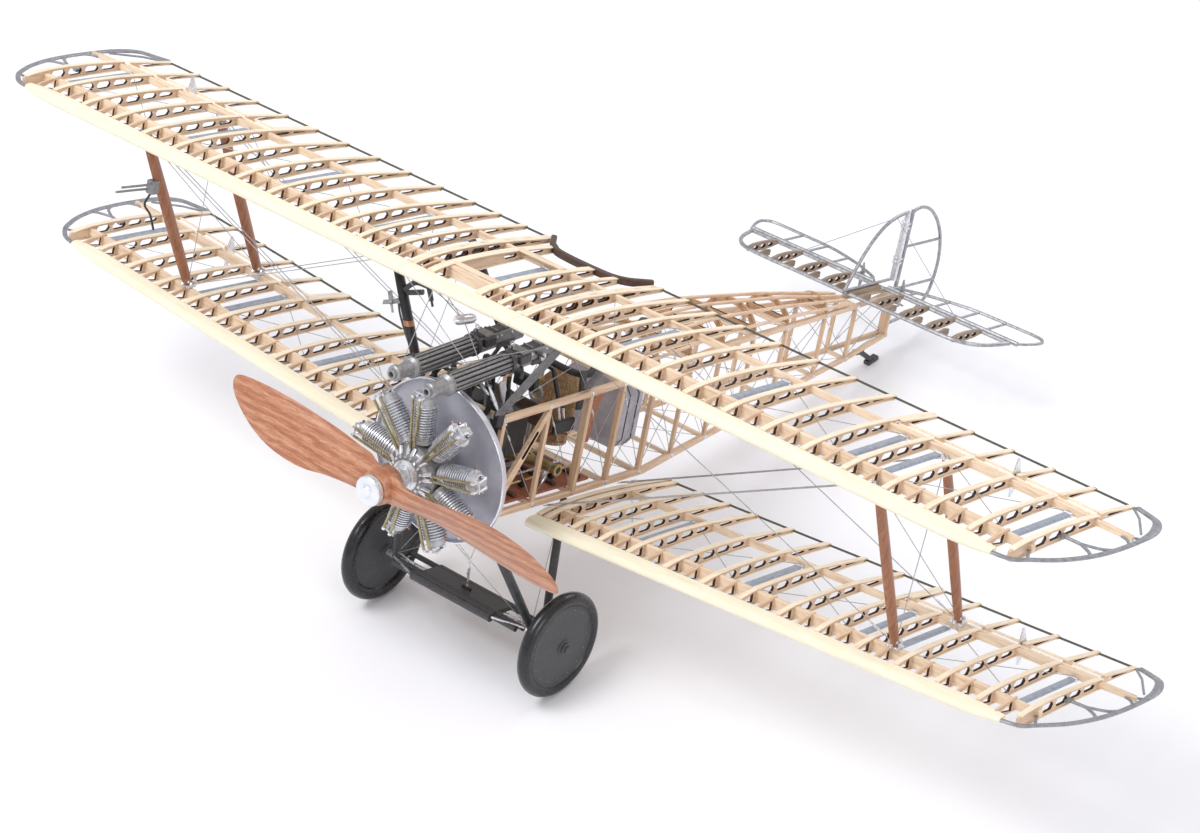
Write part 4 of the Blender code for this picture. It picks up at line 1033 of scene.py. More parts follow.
HALF_WIDTH = 20.5
TAIL_POST = 302.0
TOP_RAIL = [(10.6, -45.3), (62.0, -43.8), (110.0, -42.2), (163.0, -41.6), (240.0, -45.2),
            (268.0, -46.4), (302.0, -46.4)]
LOW_RAIL = [(10.6, -86.0), (62.0, -86.2), (110.0, -86.0), (163.0, -81.2), (240.0, -73.2),
            (268.0, -71.2), (302.0, -67.0)]
POST_WIDTH = {41.0: 1.9, 65.0: 3.2, 86.0: 2.3}
FRAMES = [14.0, 41.0, 65.0, 86.0, 107.0, 130.0, 155.0, 180.0, 207.0, 240.0, 267.0]


def rail(line, y):
    return float(np.interp(y, [p[0] for p in line], [p[1] for p in line]))


def half_width(y):
    return HALF_WIDTH if y <= 110 else HALF_WIDTH + (1.6 - HALF_WIDTH) * (y - 110) / (TAIL_POST - 110)


def make_fuselage():
    rails = Shape()
    for line in (TOP_RAIL, LOW_RAIL):
        for s in (1, -1):
            points = [(s * half_width(y), y, rail(line, y)) for y, z in line]
            scale = [1 - 0.27 * max(0, y - 110) / 192 for y, z in line]
            rails.add(bar(points, 2.6, 2.6, UP, 0.35, scale))
    piece("fuselage_longerons", rails, ["frame"], "airframe", ["fuselage_frame"], 30)
    posts = Shape()
    crosses = Shape()
    clips = Shape()
    for y in FRAMES:
        w, top, low = half_width(y), rail(TOP_RAIL, y), rail(LOW_RAIL, y)
        thick = 2.0 if y < 120 else 1.6
        wide = POST_WIDTH.get(y, thick)
        for s in (1, -1):
            posts.add(bar([(s * w, y, low), (s * w, y, top)], wide, thick, AFT))
            for z in (top, low):
                out = s * (w + 1.45)
                clips.add(block((min(out, out - s * 0.5), y - 1.0, z - 0.9),
                                (max(out, out - s * 0.5), y + 1.0, z + 0.9), 0.15))
                clips.add(peg(0.4, 0.4, 8, (out, y, z), (s, 0, 0)))
        for z in (top, low):
            if not (y < 80 and z == top and y > 30):
                crosses.add(bar([(-w, y, z), (w, y, z)], thick, thick, AFT))
    posts.add(block((-2.2, 300.2, -67.6), (2.2, 302.2, -45.4)))
    piece("fuselage_posts", posts, ["post"], "airframe", (), 30)
    piece("fuselage_crosses", crosses, ["spar"], "airframe", (), 30)
    piece("fuselage_fittings", clips, ["silver"], "airframe", (), 30)
    bracing = Shape()
    stations = FRAMES + [300.5]
    for a, b in zip(stations, stations[1:]):
        for s in (1, -1):
            p = [(s * half_width(a), a, rail(TOP_RAIL, a) - 1),
                 (s * half_width(b), b, rail(LOW_RAIL, b) + 1),
                 (s * half_width(a), a, rail(LOW_RAIL, a) + 1),
                 (s * half_width(b), b, rail(TOP_RAIL, b) - 1)]
            wires(bracing, [(p[0], p[1]), (p[2], p[3])], 0.16, 0)
            turnbuckle(bracing, p[0], p[1], 0.2, 3.6, 0.42, 1)
            turnbuckle(bracing, p[2], p[3], 0.2, 3.6, 0.42, 1)
        for line in (TOP_RAIL, LOW_RAIL):
            if line is TOP_RAIL and a < 80:
                continue
            wa, wb, za, zb = half_width(a) - 1, half_width(b) - 1, rail(line, a), rail(line, b)
            wires(bracing, [((wa, a, za), (-wb, b, zb)), ((-wa, a, za), (wb, b, zb))], 0.13, 0)
    piece("fuselage_bracing", bracing, ["wire", "silver"], "airframe")

    front = Shape()
    for s in (1, -1):
        # slotted side bar from the top longeron down to the engine bearer
        a, b = np.array([s * 20.9, 40.0, -47.0]), np.array([s * 20.9, 15.6, -83.6])
        length = float(np.linalg.norm(b - a))
        d = (b - a) / length
        outline = [(0, -1.2), (length, -2.2), (length, 2.2), (0, 1.2)]
        u0, u1, wide = 9.0, 20.0, 0.8
        hole = [(u1 + wide * cos(t), wide * sin(t)) for t in np.linspace(-pi / 2, pi / 2, 6)]
        hole += [(u0 + wide * cos(t), wide * sin(t)) for t in np.linspace(pi / 2, 3 * pi / 2, 6)]
        basis = Matrix(((1, 0, 0), (0, d[1], -d[2]), (0, d[2], d[1]))).to_4x4()
        basis.translation = Vector(a)
        front.add(plate(outline, [hole], 1.6), 0, basis)
    piece("engine_bearer_sides", front, ["frame", "burnt"], "airframe", (), 30)


DECK_TOP = [(86.0, -29.0), (107.0, -27.4), (130.0, -26.6), (155.0, -27.6), (180.0, -30.4),
            (207.0, -33.6), (240.0, -37.4)]


def make_deck():
    formers = Shape()
    for y, top in DECK_TOP:
        base = rail(TOP_RAIL, y) + 1.5
        w = half_width(y) + 0.4
        rise = top - base
        outer = [(w * cos(a), base + rise * sin(a)) for a in np.linspace(0, pi, 21)]
        inner_w, inner_rise = w - 3.4, rise - 3.2
        holes = []
        if inner_rise > 3:
            holes = [[(inner_w * cos(a), base + 1.8 + inner_rise * 0.86 * sin(a))
                      for a in np.linspace(0.12, pi - 0.12, 15)]]
        points, faces, looks = plate(outer, holes, 1.2)
        points = [(p[1], y + p[0], p[2]) for p in points]
        formers.add((points, faces, looks))
    piece("turtle_deck_formers", formers, ["ply", "burnt"], "airframe",
          ["turtle_deck"], 30)
    stringers = Shape()
    for share in (0.0, 0.2, 0.4, 0.6, 0.8, 1.0):
        a = radians(18 + 144 * share)
        line = []
        for y, top in [(83.0, -29.2)] + DECK_TOP[1:-1] + [(258.0, -41.8)]:
            base = rail(TOP_RAIL, y) + 1.5
            line.append(((half_width(y) + 0.3) * cos(a), y, base + (top + 0.3 - base) * sin(a)))
        stringers.add(sweep(curve_through(line, 24), slab(1.3, 1.3, 0.25)))
    piece("turtle_deck_stringers", stringers, ["frame"], "airframe", (), 30)


SEAT_Y, SEAT_Z = 69.4, -72.0
SEAT_WIDE, SEAT_DEEP, SEAT_RISE = 10.2, 7.4, 25.5


def seat_share(a):
    """Share of the seat's full rise that its edge reaches at an angle from its back."""
    return 0.30 + 0.70 * max(0.0, cos(a)) ** 0.6


def coaming_point(a):
    """Centre of the padded roll, at an angle round the cockpit."""
    return (13.8 * cos(a), 70.4 + 11.6 * sin(a), -36.0 - 3.4 * cos(a) ** 2)


def make_cockpit():
    seat = Shape()
    grid_u, grid_v = 24, 14
    points = []
    for layer in (0.0, 0.9):
        for i in range(grid_u + 1):
            a = radians(-120 + 240 * i / grid_u)
            for j in range(grid_v + 1):
                t = j / grid_v
                height = 2.0 + SEAT_RISE * t * seat_share(a)
                grow = 0.86 + 0.14 * t
                x = (SEAT_WIDE - layer) * grow * sin(a)
                y = SEAT_Y + (SEAT_DEEP - layer) * grow * cos(a)
                points.append((x, y, SEAT_Z + height))
    stride = (grid_u + 1) * (grid_v + 1)
    faces = []
    for i in range(grid_u):
        for j in range(grid_v):
            k = i * (grid_v + 1) + j
            quad = [k, k + grid_v + 1, k + grid_v + 2, k + 1]
            faces += [quad, [q + stride for q in reversed(quad)]]
        k, q = i * (grid_v + 1) + grid_v, (i + 1) * (grid_v + 1) + grid_v
        faces.append([k, q, q + stride, k + stride])
        k, q = i * (grid_v + 1), (i + 1) * (grid_v + 1)
        faces.append([q, k, k + stride, q + stride])
    for i in (0, grid_u):
        for j in range(grid_v):
            k = i * (grid_v + 1) + j
            faces.append([k, k + 1, k + 1 + stride, k + stride])
    seat.add((points, faces))
    pan = [(9.2 * cos(a), SEAT_Y + 7.6 * sin(a)) for a in np.linspace(0, 2 * pi, 28, False)]
    low = [(x, y, -71.6) for x, y in pan]
    high = [(x, y, -70.2) for x, y in pan]
    n = len(pan)
    seat.add((low + high, [list(range(n)), list(range(n, 2 * n))]
              + [[k, (k + 1) % n, n + (k + 1) % n, n + k] for k in range(n)]))
    rim = [(SEAT_WIDE * sin(a), SEAT_Y + SEAT_DEEP * cos(a), SEAT_Z + 2.0 + SEAT_RISE * seat_share(a))
           for a in np.radians(np.linspace(-120, 120, 40))]
    seat.add(tube(rim, 0.75, 8), 0)
    piece("seat_wicker", seat, ["wicker"], "airframe", ["seat"], 50)

    belt = Shape()
    for s in (1, -1):
        line = curve_through([(s * 9.6, 70, -66.5), (s * 8.0, 66, -65.8), (s * 5.5, 63.4, -67.6),
                              (s * 4.2, 61.6, -71.5)], 14)
        belt.add(sweep(line, slab(2.2, 0.5, 0.1), UP))
    piece("lap_belt", belt, ["belt"], "airframe")

    pad = Shape()
    ring = [coaming_point(a) for a in np.linspace(0, 2 * pi, 64, False)]
    pad.add(tube(ring, 1.45, 12, True), 0)
    for a in np.linspace(0, 2 * pi, 40, False):
        c = Vector(coaming_point(a))
        out = Vector((cos(a), sin(a), -0.9)).normalized()
        b = c + out * 1.42
        half = Vector((-sin(a), cos(a), 0)) * 0.5
        pad.add(tube([b - half, b + half], 0.18, 6), 1)
    coaming = piece("coaming_roll", pad, ["leather", "belt"], "airframe", ["coaming"])

    tank = Shape()
    outline = [(-16.0, -72.0), (-13.0, -76.5), (13.0, -76.5), (16.0, -72.0), (16.0, -53.0),
               (12.0, -48.0), (-12.0, -48.0), (-16.0, -53.0)]
    middle = -62.2
    stops = ((94.7, 0.955), (95.1, 0.985), (95.8, 1.0), (106.6, 1.0), (107.3, 0.985), (107.7, 0.955))
    rings = []
    for y, k in stops:
        rings += [(x * k, y, middle + (z - middle) * k) for x, z in outline]
    tank.add((rings, skin(len(stops), len(outline))), 0)
    for y in (98.4, 104.0):
        loop = [(x * 1.008, y, middle + (z - middle) * 1.008) for x, z in outline]
        tank.add(sweep(loop, slab(0.2, 0.5, 0.05), AFT, None, True), 1)
    tank.add(turned_at([(0.0, 0.0), (2.2, 0.0), (2.2, 1.2), (1.8, 1.6), (0.0, 1.6)], 18,
                       (4.0, 101.2, -48.1), UP), 1)
    piece("fuel_tank_shell", tank, ["tank", "gun_dark"], "airframe", ["fuel_tank"], 30)

    inside = Shape()
    pipe = curve_through([(-10, 47, -75), (4, 50, -75), (12, 51, -73.5), (22.5, 51, -73)], 14)
    inside.add(tube(pipe, 2.1, 18), 0)
    inside.add(turned_at([(1.5, 0.0), (2.5, 0.0), (2.5, 1.0), (1.5, 1.0)], 24, (22.0, 51, -73),
                         ACROSS), 0)
    inside.add(peg(1.7, 0.2, 20, (22.6, 51, -73), ACROSS), 2)
    for x, z, r in ((-9, -52, 2.3), (-3, -54, 2.0), (4, -52.5, 2.6), (10, -55, 1.8)):
        inside.add(turned_at([(0.0, 0.0), (r, 0.0), (r, 1.2), (r - 0.4, 1.5), (r - 0.5, 1.1),
                              (0.0, 1.1)], 20, (x, 47.6, z), AFT), 0)
    inside.add(block((-16, 46.4, -58), (16, 47.6, -49)), 3)
    inside.add(block((-18.8, 40, -58), (-17.6, 58, -54)), 3)
    for low, high in (((2.0, 25.0, -66.0), (15.0, 37.0, -49.0)),
                      ((-15.0, 25.0, -66.0), (-2.0, 37.0, -49.0))):
        inside.add(block(low, high, 0.8), 2)
        inside.add(block((low[0] + 0.8, low[1] - 0.4, -52.6), (high[0] - 0.8, high[1] + 0.4, -51.6),
                         0.15), 1)
    # rods, brackets and battens over the floor, and a drum under the boxes
    for x, z, look in ((-12.0, -80.6, 1), (-6.0, -81.2, 0), (6.0, -81.2, 1), (12.0, -80.6, 0)):
        inside.add(tube([(x, 22.0, z), (x, 76.0, z + 0.6)], 0.5, 8), look)
        for y in (28.0, 44.0, 62.0):
            inside.add(block((x - 1.2, y - 0.9, -83.0), (x + 1.2, y + 0.9, z + 0.8), 0.2), 2)
    for y in (34.0, 58.0, 73.0):
        inside.add(block((-17.6, y - 1.2, -83.1), (17.6, y + 1.2, -81.9), 0.25), 3)
    inside.add(turned_at([(0.0, 0.0), (5.2, 0.0), (5.6, 0.6), (5.6, 13.4), (5.2, 14.0), (0.0, 14.0)],
                         28, (0, 24, -66), AFT), 1)
    # throttle and mixture levers on the port side, and small cocks with their pipes
    for y, z in ((54.0, -56.0), (57.0, -57.0)):
        inside.add(tube([(17.2, y, z), (16.4, y - 2.0, z + 8.0)], 0.45, 8), 1)
        inside.add(turned_at([(0.0, -0.9), (0.9, -0.6), (0.9, 0.6), (0.0, 0.9)], 12,
                             (16.4, y - 2.0, z + 8.0), UP), 2)
    inside.add(block((16.6, 50.0, -60.0), (18.4, 62.0, -54.4), 0.4), 2)
    for x, y, z in ((8.0, 38.0, -79.0), (-8.0, 40.0, -79.0), (12.0, 57.0, -79.5), (-12.0, 60.0, -79.5)):
        inside.add(turned_at([(0.0, 0.0), (1.6, 0.0), (1.6, 3.6), (1.0, 4.4), (0.0, 4.4)], 14,
                             (x, y, z - 3.5), UP), 1)
        feed = [(x, y, z), (x * 0.6, y + 3.0, z + 2.4), (x * 0.2, y + 8.0, z - 1.0)]
        inside.add(tube(curve_through(feed, 12), 0.4, 6), 0)
    piece("cockpit_fittings", inside, ["brass", "silver", "black", "walnut"], "airframe")

    hung = Shape()
    hung.add(sweep(curve_through([(15.0, 81.0, -46.5), (15.3, 77.0, -53.0), (15.2, 75.6, -60.0),
                                  (15.0, 75.0, -69.0)], 16), slab(5.0, 0.6, 0.12), ACROSS), 0)
    hung.add(bar([(14.8, 66.0, -37.4), (16.4, 65.2, -44.0), (17.0, 64.5, -52.0)], 1.2, 3.4, AFT), 1)
    hung.add(bar([(-14.8, 66.0, -37.4), (-17.0, 64.5, -50.0)], 1.2, 3.0, AFT), 1)
    piece("cockpit_strap_and_bracket", hung, ["strap", "dark"], "airframe")


# The sight pad, and where its wires end: on the pad, under the upper wing and by a cabane foot
PAD = (-5.2, 12.0, -13.7)
ON_PAD = (-5.2, 12.0, -14.6)
UNDER_WING = (-13.3, 0.6, -2.0)
BY_CABANE = (20.6, 10.4, -42.0)


def make_gun_mounts():
    """Cross bars, curved legs and bent chutes under the guns, and the sight pad on its wires."""
    mounts = Shape()
    for y, z in ((14.0, -36.8), (48.0, -33.4)):
        mounts.add(bar([(-19.0, y, -44.6), (-13.5, y, z), (13.5, y, z), (19.0, y, -44.6)], 1.4,
                       1.4, AFT), 0)
    for s in (1, -1):
        for y in (11.0, 22.0):
            hoop = [(s * 3.5, y, -38.0), (s * 4.6, y + 1.0, -44.0), (s * 9.0, y + 2.0, -47.5),
                    (s * 13.6, y + 1.0, -44.0), (s * 14.4, y, -37.0)]
            mounts.add(tube(curve_through(hoop, 22), 1.15, 10), 0)
        legs = [(s * 9.0, 16.0, -36.0), (s * 11.0, 15.4, -48.0), (s * 17.0, 14.6, -58.0)]
        mounts.add(sweep(curve_through(legs, 12), slab(1.6, 2.6, 0.3), AFT), 1)
        chute = [(s * 8.6, 24.0, -36.0), (s * 10.4, 25.6, -43.0), (s * 11.0, 31.0, -51.0),
                 (s * 12.4, 37.0, -60.0)]
        mounts.add(sweep(curve_through(chute, 18), slab(3.4, 0.7, 0.15), ACROSS), 2)
        mounts.add(mirrored_block(s, (19.2, 8.6, -47.2), (22.2, 12.6, -41.0), 0.5), 0)
        mounts.add(bar([(s * 20.6, 11.0, -46.0), (s * 20.0, 17.0, -52.0), (s * 20.4, 15.0, -60.0)],
                       2.0, 1.4, ACROSS), 0)
        mounts.add(tube([(s * 4.0, 34.0, -38.0), (s * 4.0, 36.0, -50.0)], 0.9, 10), 0)
        mounts.add(mirrored_block(s, (2.6, 38.0, -41.5), (14.0, 41.0, -36.0), 0.5), 0)
    piece("gun_mounts", mounts, ["black", "gun", "light_metal"], "airframe")
    pad = Shape()
    oval = [(0.0, -5.2), (1.2, -4.9), (1.9, -3.6), (2.0, 0.0), (1.9, 3.6), (1.2, 4.9), (0.0, 5.2)]
    pad.add(turned_at(oval, 18, PAD, (0.3, 1.8, 0.0)), 0)
    wires(pad, [(end, ON_PAD) for end in (BY_CABANE, UNDER_WING, (-27.0, 13.0, -2.0))], 0.2, 1)
    wires(pad, [(UNDER_WING, (-9.0, -15.0, -27.4))], 0.18, 1)
    turnbuckle(pad, BY_CABANE, ON_PAD, 0.16, 10.0, 0.75, 0)
    piece("sight_pad_and_wires", pad, ["silver", "wire"], "airframe")


GUN = (9.0, -14.0, -31.5)
GUN_SLOPE = atan2(3.5, 36.0)
FLUTES = 14


def make_guns():
    for side_name, s in SIDES:
        at = (Matrix.Translation((s * GUN[0], *GUN[1:]))
              @ Matrix.Rotation(radians(90.0) + GUN_SLOPE, 4, "X"))
        gun = Shape()
        # jacket: round ridges, with painted shade (the darker gun_dark look) on the groove faces
        # between each pair
        ridges = []
        for k in range(FLUTES):
            for share, radius in ((0.0, 3.5), (0.2, 4.0), (0.5, 4.15), (0.8, 4.0)):
                a = 2 * pi * (k + share) / FLUTES
                ridges.append((radius * cos(a), radius * sin(a)))
        stops = [(-38.0, 0.92), (-37.4, 1.0), (-5.4, 1.0), (-4.8, 0.92)]
        pts, faces = sweep([(0, 0, z) for z, k in stops], ridges, AFT, [k for z, k in stops])
        # faces in the grooves take the darker look as painted shade
        shades = [1 if i % 4 in (0, 3) else 0 for i in range(len(faces))]
        gun.add((pts, faces, shades), 0, at)
        gun.add(turned([(0.0, -39.4), (4.3, -39.4), (4.5, -38.9), (4.5, -37.4), (0.0, -37.4)], 28), 1,
                at)
        gun.add(turned([(0.0, -5.6), (4.2, -5.6), (4.4, -5.2), (4.4, -4.0), (3.7, -3.3), (3.3, -2.9),
                        (2.5, 1.6), (2.4, 2.8), (2.7, 3.0), (3.2, 3.4), (3.2, 5.0), (2.6, 5.5),
                        (2.0, 5.6), (2.0, 6.6), (1.2, 6.6), (1.2, 4.0), (0.0, 4.0)], 28), 3, at)
        # receiver, its lid, the feed block and the parts round it
        gun.add(block((-2.7, -3.4, -66.0), (2.7, 2.9, -39.0), 0.4), 0, at)
        gun.add(block((-2.2, 2.6, -62.0), (2.2, 3.7, -41.0), 0.3), 1, at)
        gun.add(block((-4.6, -0.8, -47.5), (4.6, 3.0, -41.5), 0.4), 1, at)
        gun.add(block((-3.9, 2.6, -46.6), (3.9, 4.2, -42.4), 0.3), 0, at)
        gun.add(block((-3.3, -3.8, -60.0), (3.3, -1.6, -50.0), 0.3), 1, at)
        for z in (-64.0, -58.0, -52.0, -49.4):
            for side in (-1, 1):
                gun.add(turned_at([(0.0, 0.0), (0.6, 0.0), (0.5, 0.4), (0.0, 0.4)], 8,
                                  (side * 2.7, 1.4, z), (side, 0, 0)), 2, at)
        for z in (-60.0, -55.0, -50.0):
            gun.add(block((-2.4, 3.5, z - 0.4), (2.4, 4.0, z + 0.4), 0.1), 0, at)
        crank = (s * 3.2, -1.0, -55.0)
        gun.add(turned_at([(0.0, 0.0), (1.6, 0.0), (1.6, 1.0), (1.0, 1.3), (0.0, 1.3)], 14, crank,
                          (s, 0, 0)), 2, at)
        gun.add(tube([(s * 4.1, -1.0, -55.0), (s * 4.2, 1.8, -51.6), (s * 4.2, 2.4, -50.0)], 0.55, 8),
                1, at)
        gun.add(tube([(s * 2.8, -2.4, -44.0), (s * 4.6, -4.6, -43.0), (s * 4.8, -6.4, -42.0)], 0.7, 8),
                1, at)
        # sight line, rear grips and trigger
        gun.add(tube([(0, 4.3, -40.4), (0, 6.3, -40.4)], 0.35, 6), 1, at)
        gun.add(turned_at([(0.7, -0.2), (1.1, -0.2), (1.1, 0.2), (0.7, 0.2)], 16, (0, 7.2, -40.4),
                          UP), 2, at)
        gun.add(block((-0.3, 4.1, -5.3), (0.3, 5.9, -4.3), 0.1), 1, at)
        gun.add(block((-2.4, -2.4, -67.4), (2.4, 2.4, -65.6), 0.3), 1, at)
        for side in (-1, 1):
            gun.add(tube([(side * 1.9, -2.2, -68.8), (side * 1.9, 2.2, -68.8)], 0.65, 8), 1, at)
        piece(f"gun_{side_name}_detailed", gun, ["gun", "gun_dark", "silver", "muzzle"],
              "airframe", [f"gun_{side_name}"], 30)
    make_gun_mounts()


# ---------------------------------------------------------------- tail

TAIL_Z = -42.0
TAIL_HINGE = 291.4
RUDDER_Y = 303.9


def make_tail():
    shape = Shape()
    edge = [(0.0, 265.6), (30.0, 265.6), (46.0, 265.6), (56.0, 266.4), (62.6, 269.8),
            (67.4, 276.8), (70.6, 288.0)]
    both = [(-x, y, TAIL_Z) for x, y in reversed(edge[1:])] + [(x, y, TAIL_Z) for x, y in edge]
    frame_line = Shape()
    frame_line.add(tube(curve_through(both, 60), 0.95, 8), 0)
    frame_line.add(tube([(-71.2, 288.4, TAIL_Z), (71.2, 288.4, TAIL_Z)], 0.95, 8), 0)
    piece("tailplane_tubes", frame_line, ["tube"], "airframe")
    outline = [(266.0, -1.0), (270.0, -1.8), (276.0, -2.0), (283.0, -1.6), (288.0, -0.8),
               (288.0, 0.8), (283.0, 1.6), (276.0, 2.0), (270.0, 1.8), (266.0, 1.0)]
    holes = [[(y0 + 1.9 * cos(t), r * sin(t)) for t in np.linspace(0, 2 * pi, 12, False)]
             for y0, r in ((271.2, 1.0), (276.6, 1.1), (282.0, 0.9))]
    nose = [(266.0, -1.0), (270.0, -1.7), (273.0, -1.2), (273.0, 1.2), (270.0, 1.7), (266.0, 1.0)]
    for s in (1, -1):
        for x in (14.0, 28.0, 42.0, 56.0):
            shape.add(plate(outline, holes, 1.4), 0, Matrix.Translation((s * x, 0, TAIL_Z)))
        for x in (7.0, 21.0, 35.0, 49.0):
            shape.add(plate(nose, [], 1.2), 0, Matrix.Translation((s * x, 0, TAIL_Z)))
    shape.add(block((-2.4, 265.0, -43.0), (2.4, 288.0, -41.0)), 0)
    piece("tailplane_ribs", shape, ["tail", "burnt"], "airframe", ["tailplane"], 30)

    line = [(4.4, TAIL_HINGE), (7.6, 295.8), (14.0, 299.4), (22.0, 303.2), (39.0, 308.0),
            (60.0, 309.0), (73.0, 308.8), (76.8, 306.0), (77.2, 302.0), (75.2, 296.0),
            (72.6, TAIL_HINGE)]
    for side_name, s in SIDES:
        body = f"elevator_{side_name}"
        part = Shape()
        part.add(tube([(s * 4.0, TAIL_HINGE, TAIL_Z), (s * 73.2, TAIL_HINGE, TAIL_Z)], 1.1, 10), 0)
        part.add(tube(curve_through([(s * x, y, TAIL_Z) for x, y in line], 60), 0.75, 8), 0)
        for x, last in ((14.0, 299.2), (28.0, 305.0), (42.0, 308.2), (56.0, 308.9)):
            part.add(tube([(s * x, TAIL_HINGE, TAIL_Z), (s * x, last, TAIL_Z)], 0.6, 8), 0)
        horn = [(TAIL_HINGE - 0.8, 0.0), (TAIL_HINGE - 0.4, 6.4), (TAIL_HINGE + 0.4, 6.4),
                (TAIL_HINGE + 2.4, 0.0), (TAIL_HINGE + 0.4, -6.4), (TAIL_HINGE - 0.4, -6.4)]
        part.add(plate(horn, [], 0.5, 0, 0, 0), 0, Matrix.Translation((s * 11.0, 0, TAIL_Z)))
        piece(body + "_frame", part, ["tube"], body, [body])

    fin = Shape()
    edge = [(262.6, -40.4), (266.0, -34.6), (271.0, -26.5), (277.0, -19.0), (284.0, -13.4),
            (292.0, -10.2), (300.4, -9.0)]
    fin.add(tube(curve_through([(0, y, z) for y, z in edge], 30), 0.8, 8), 0)
    fin.add(tube([(0, 300.0, -41), (0, 300.0, -13.0), (0, 300.2, -8.8)], [1.6, 1.6, 0.9], 14), 1)
    for z in (-32.5, -30.5, -16.0, -14.0):
        fin.add(turned_at([(0.9, -0.5), (2.1, -0.5), (2.1, 0.5), (0.9, 0.5)], 16, (0, 300.0, z),
                          UP), 1)
    fin.add(tube([(0, 262.4, -40.4), (0, 300.5, -40.4)], 0.7, 8), 0)
    wires(fin, [((0, 292, -10.6), (s * 42, 288.6, TAIL_Z + 0.9)) for s in (-1, 1)], 0.17, 2)
    piece("fin_frame", fin, ["tube", "silver", "wire"], "airframe", ["fin"])

    rudder = Shape()
    edge = [(303.9, -9.6), (307.0, -8.4), (311.0, -8.2), (316.0, -9.4), (321.0, -12.2),
            (327.0, -18.0), (332.0, -26.6), (334.6, -38.0), (332.8, -50.6), (328.0, -56.6),
            (320.0, -60.4), (303.9, -62.6)]
    rudder.add(tube(curve_through([(0, y, z) for y, z in edge], 60), 0.8, 8), 0)
    rudder.add(tube([(0, RUDDER_Y, -63.4), (0, RUDDER_Y, -8.6)], 1.0, 10), 0)
    for z, last in ((-26.0, 331.4), (-46.0, 333.4)):
        rudder.add(tube([(0, RUDDER_Y, z), (0, last, z)], 0.65, 8), 0)
    horn = plate([(-0.8, 0.0), (-0.4, 6.0), (0.4, 6.0), (2.0, 0.0), (0.4, -6.0), (-0.4, -6.0)],
                 [], 0.5, 0, 0, 0)
    turn = Matrix.Translation((0, RUDDER_Y, -52.0)) @ Matrix.Rotation(radians(90), 4, "Y")
    rudder.add(horn, 0, turn)
    piece("rudder_frame", rudder, ["tube"], "rudder", ["rudder"])


# ---------------------------------------------------------------- undercarriage

def make_wheels():
    for side_name, s in SIDES:
        middle = Vector((s * WHEEL.x, WHEEL.y, WHEEL.z))
        place = facing(middle, (s, 0, 0))
        tyre = [(19.38 + 2.79 * cos(a), 2.95 * sin(a)) for a in np.linspace(0, 2 * pi, 24, False)]
        wheel = Shape()
        wheel.add(turned(tyre, 96), 0, place)
        disc = [(1.6, -2.6), (3.2, -2.5), (16.0, -0.9), (17.0, -1.2), (17.8, -0.6), (17.8, 1.2),
                (17.4, 2.0), (16.9, 2.2), (16.5, 1.7), (16.2, 1.6), (12.0, 2.2), (7.0, 2.7),
                (3.4, 3.0), (1.6, 3.1)]
        wheel.add(turned(disc, 96), 1, place)
        wheel.add(turned([(0.0, 2.6), (3.4, 2.6), (3.4, 3.3), (2.5, 3.6), (2.5, 4.4), (1.6, 4.7),
                          (1.6, 5.4), (1.2, 5.6), (0.0, 5.6)], 28), 1, place)
        wheel.add(turned([(1.5, -3.4), (2.6, -3.4), (2.9, -3.0), (2.9, -2.2), (1.5, -2.2)], 28), 1,
                  place)
        for k in range(16):
            a = 2 * pi * (k + 0.3) / 16
            wheel.add(turned_at([(0.0, 0.0), (0.26, 0.0), (0.2, 0.18), (0.0, 0.2)], 8,
                                (15.2 * cos(a), 15.2 * sin(a), 1.72), UP), 2, place)
        piece(f"wheel_{side_name}_tyre_and_cover", wheel, ["rubber", "cover", "gun"],
              f"wheel_{side_name}", [f"wheel_{side_name}"], 40)


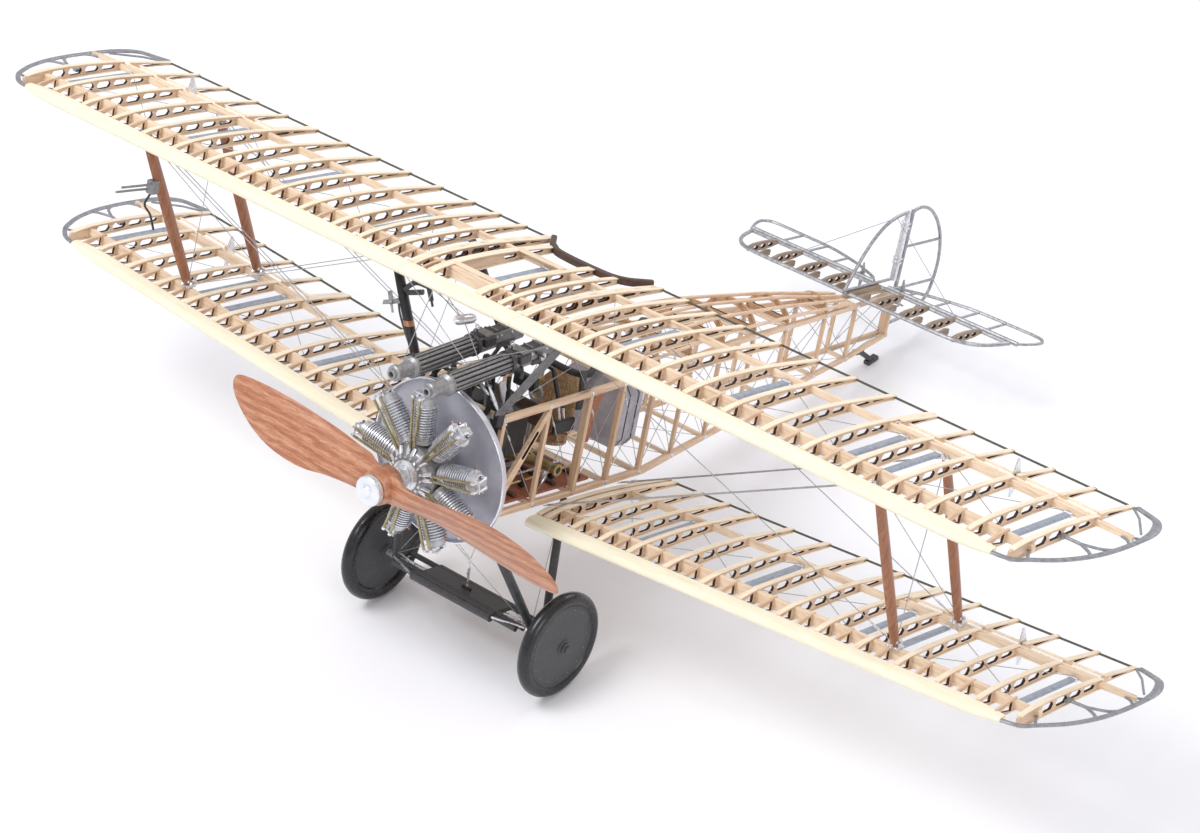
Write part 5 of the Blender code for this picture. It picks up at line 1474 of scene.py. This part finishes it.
def make_gear():
    for side_name, s in SIDES:
        gear = Shape()
        front_top, front_low = (s * 22.0, 13.4, -88.6), (s * 36.4, 36.2, -132.4)
        rear_top, rear_low = (s * 20.4, 62.0, -88.6), (s * 36.4, 44.2, -132.4)
        gear.add(streamlined(front_low, front_top, 5.3, 3.1, 0.8), 0)
        gear.add(streamlined(rear_low, rear_top, 4.7, 2.9, 0.8), 0)
        gear.add(mirrored_block(s, (35.0, 35.0, -133.2), (37.8, 45.4, -131.0)), 0)
        gear.add(turned_at([(1.6, -2.0), (2.7, -2.0), (2.7, 2.0), (1.6, 2.0)], 24,
                           (s * 37.0, WHEEL.y, WHEEL.z), ACROSS), 0)
        for y in (36.6, 38.0, 42.0, 43.4):
            gear.add(tube([(s * 34.6, y, -133.4), (s * 38.6, y, -133.4)], 0.35, 6), 1)
        gear.add(mirrored_block(s, (20.4, 11.6, -89.4), (23.4, 15.6, -87.4)), 0)
        piece(f"gear_struts_{side_name}_tube", gear, ["dark", "silver"], "airframe",
              [f"gear_struts_{side_name}"])
    board = Shape()
    board.add(block((-20.5, 31.0, -133.0), (20.5, 45.6, -131.2), 0.5), 0)
    for y in (33.4, 43.4):
        board.add(tube([(-34.6, y, -132.2), (34.6, y, -132.2)], 1.15, 10), 0)
    board.add(tube([(-21, 29.4, -132.6), (21, 29.4, -132.6)], 1.9, 14), 0)
    board.add(tube([(-33, 30.6, -132.6), (33, 30.6, -132.6)], 1.1, 10), 0)
    for s in (1, -1):
        board.add(tube([(s * 22, 28.2, -131.6), (s * 35, 33.2, -131.6)], 0.5, 8), 1)
        board.add(tube([(s * 24, 33.2, -130.4), (s * 36, 35.6, -130.0)], 0.45, 8), 1)
    board.add(tube([(0, 38.0, -131.3), (0, 37.6, -122.0)], [0.5, 0.35], 8), 1)
    turnbuckle(board, (0, 38.0, -130.0), (0, 36.0, -116.0), 0.5, 7.0, 0.6, 1)
    board.add(tube([(-2.2, 38.0, -130.9), (2.2, 38.0, -130.9)], 0.6, 8), 2)
    wires(board, [((0, 37, -118), (s * 20.5, 15.0, -88.5)) for s in (1, -1)], 0.15, 1)
    piece("axle_fairing_board", board, ["dark", "silver", "black"], "airframe",
          ["axle_fairing"])


def carried():
    looks = {"crankshaft": "silver", "axle": "silver", "cockpit_floor": "red_floor",
             "tail_skid": "dark", "pump_fan": "gun", "rocking_shaft": "gun",
             "control_column": "gun", "rudder_bar": "gun"}
    for name, look in looks.items():
        node = frame["nodes"][name]
        node.data.materials.clear()
        node.data.materials.append(M[look])


make_camera()
make_stage()
make_centre()
for level in ("upper", "lower"):
    for side_name, side in SIDES:
        make_wing(level, side_name, side)
make_struts()
make_pitot()
rigging()
make_engine()
make_propeller()
make_fuselage()
make_deck()
make_cockpit()
make_guns()
make_tail()
make_wheels()
make_gear()
carried()
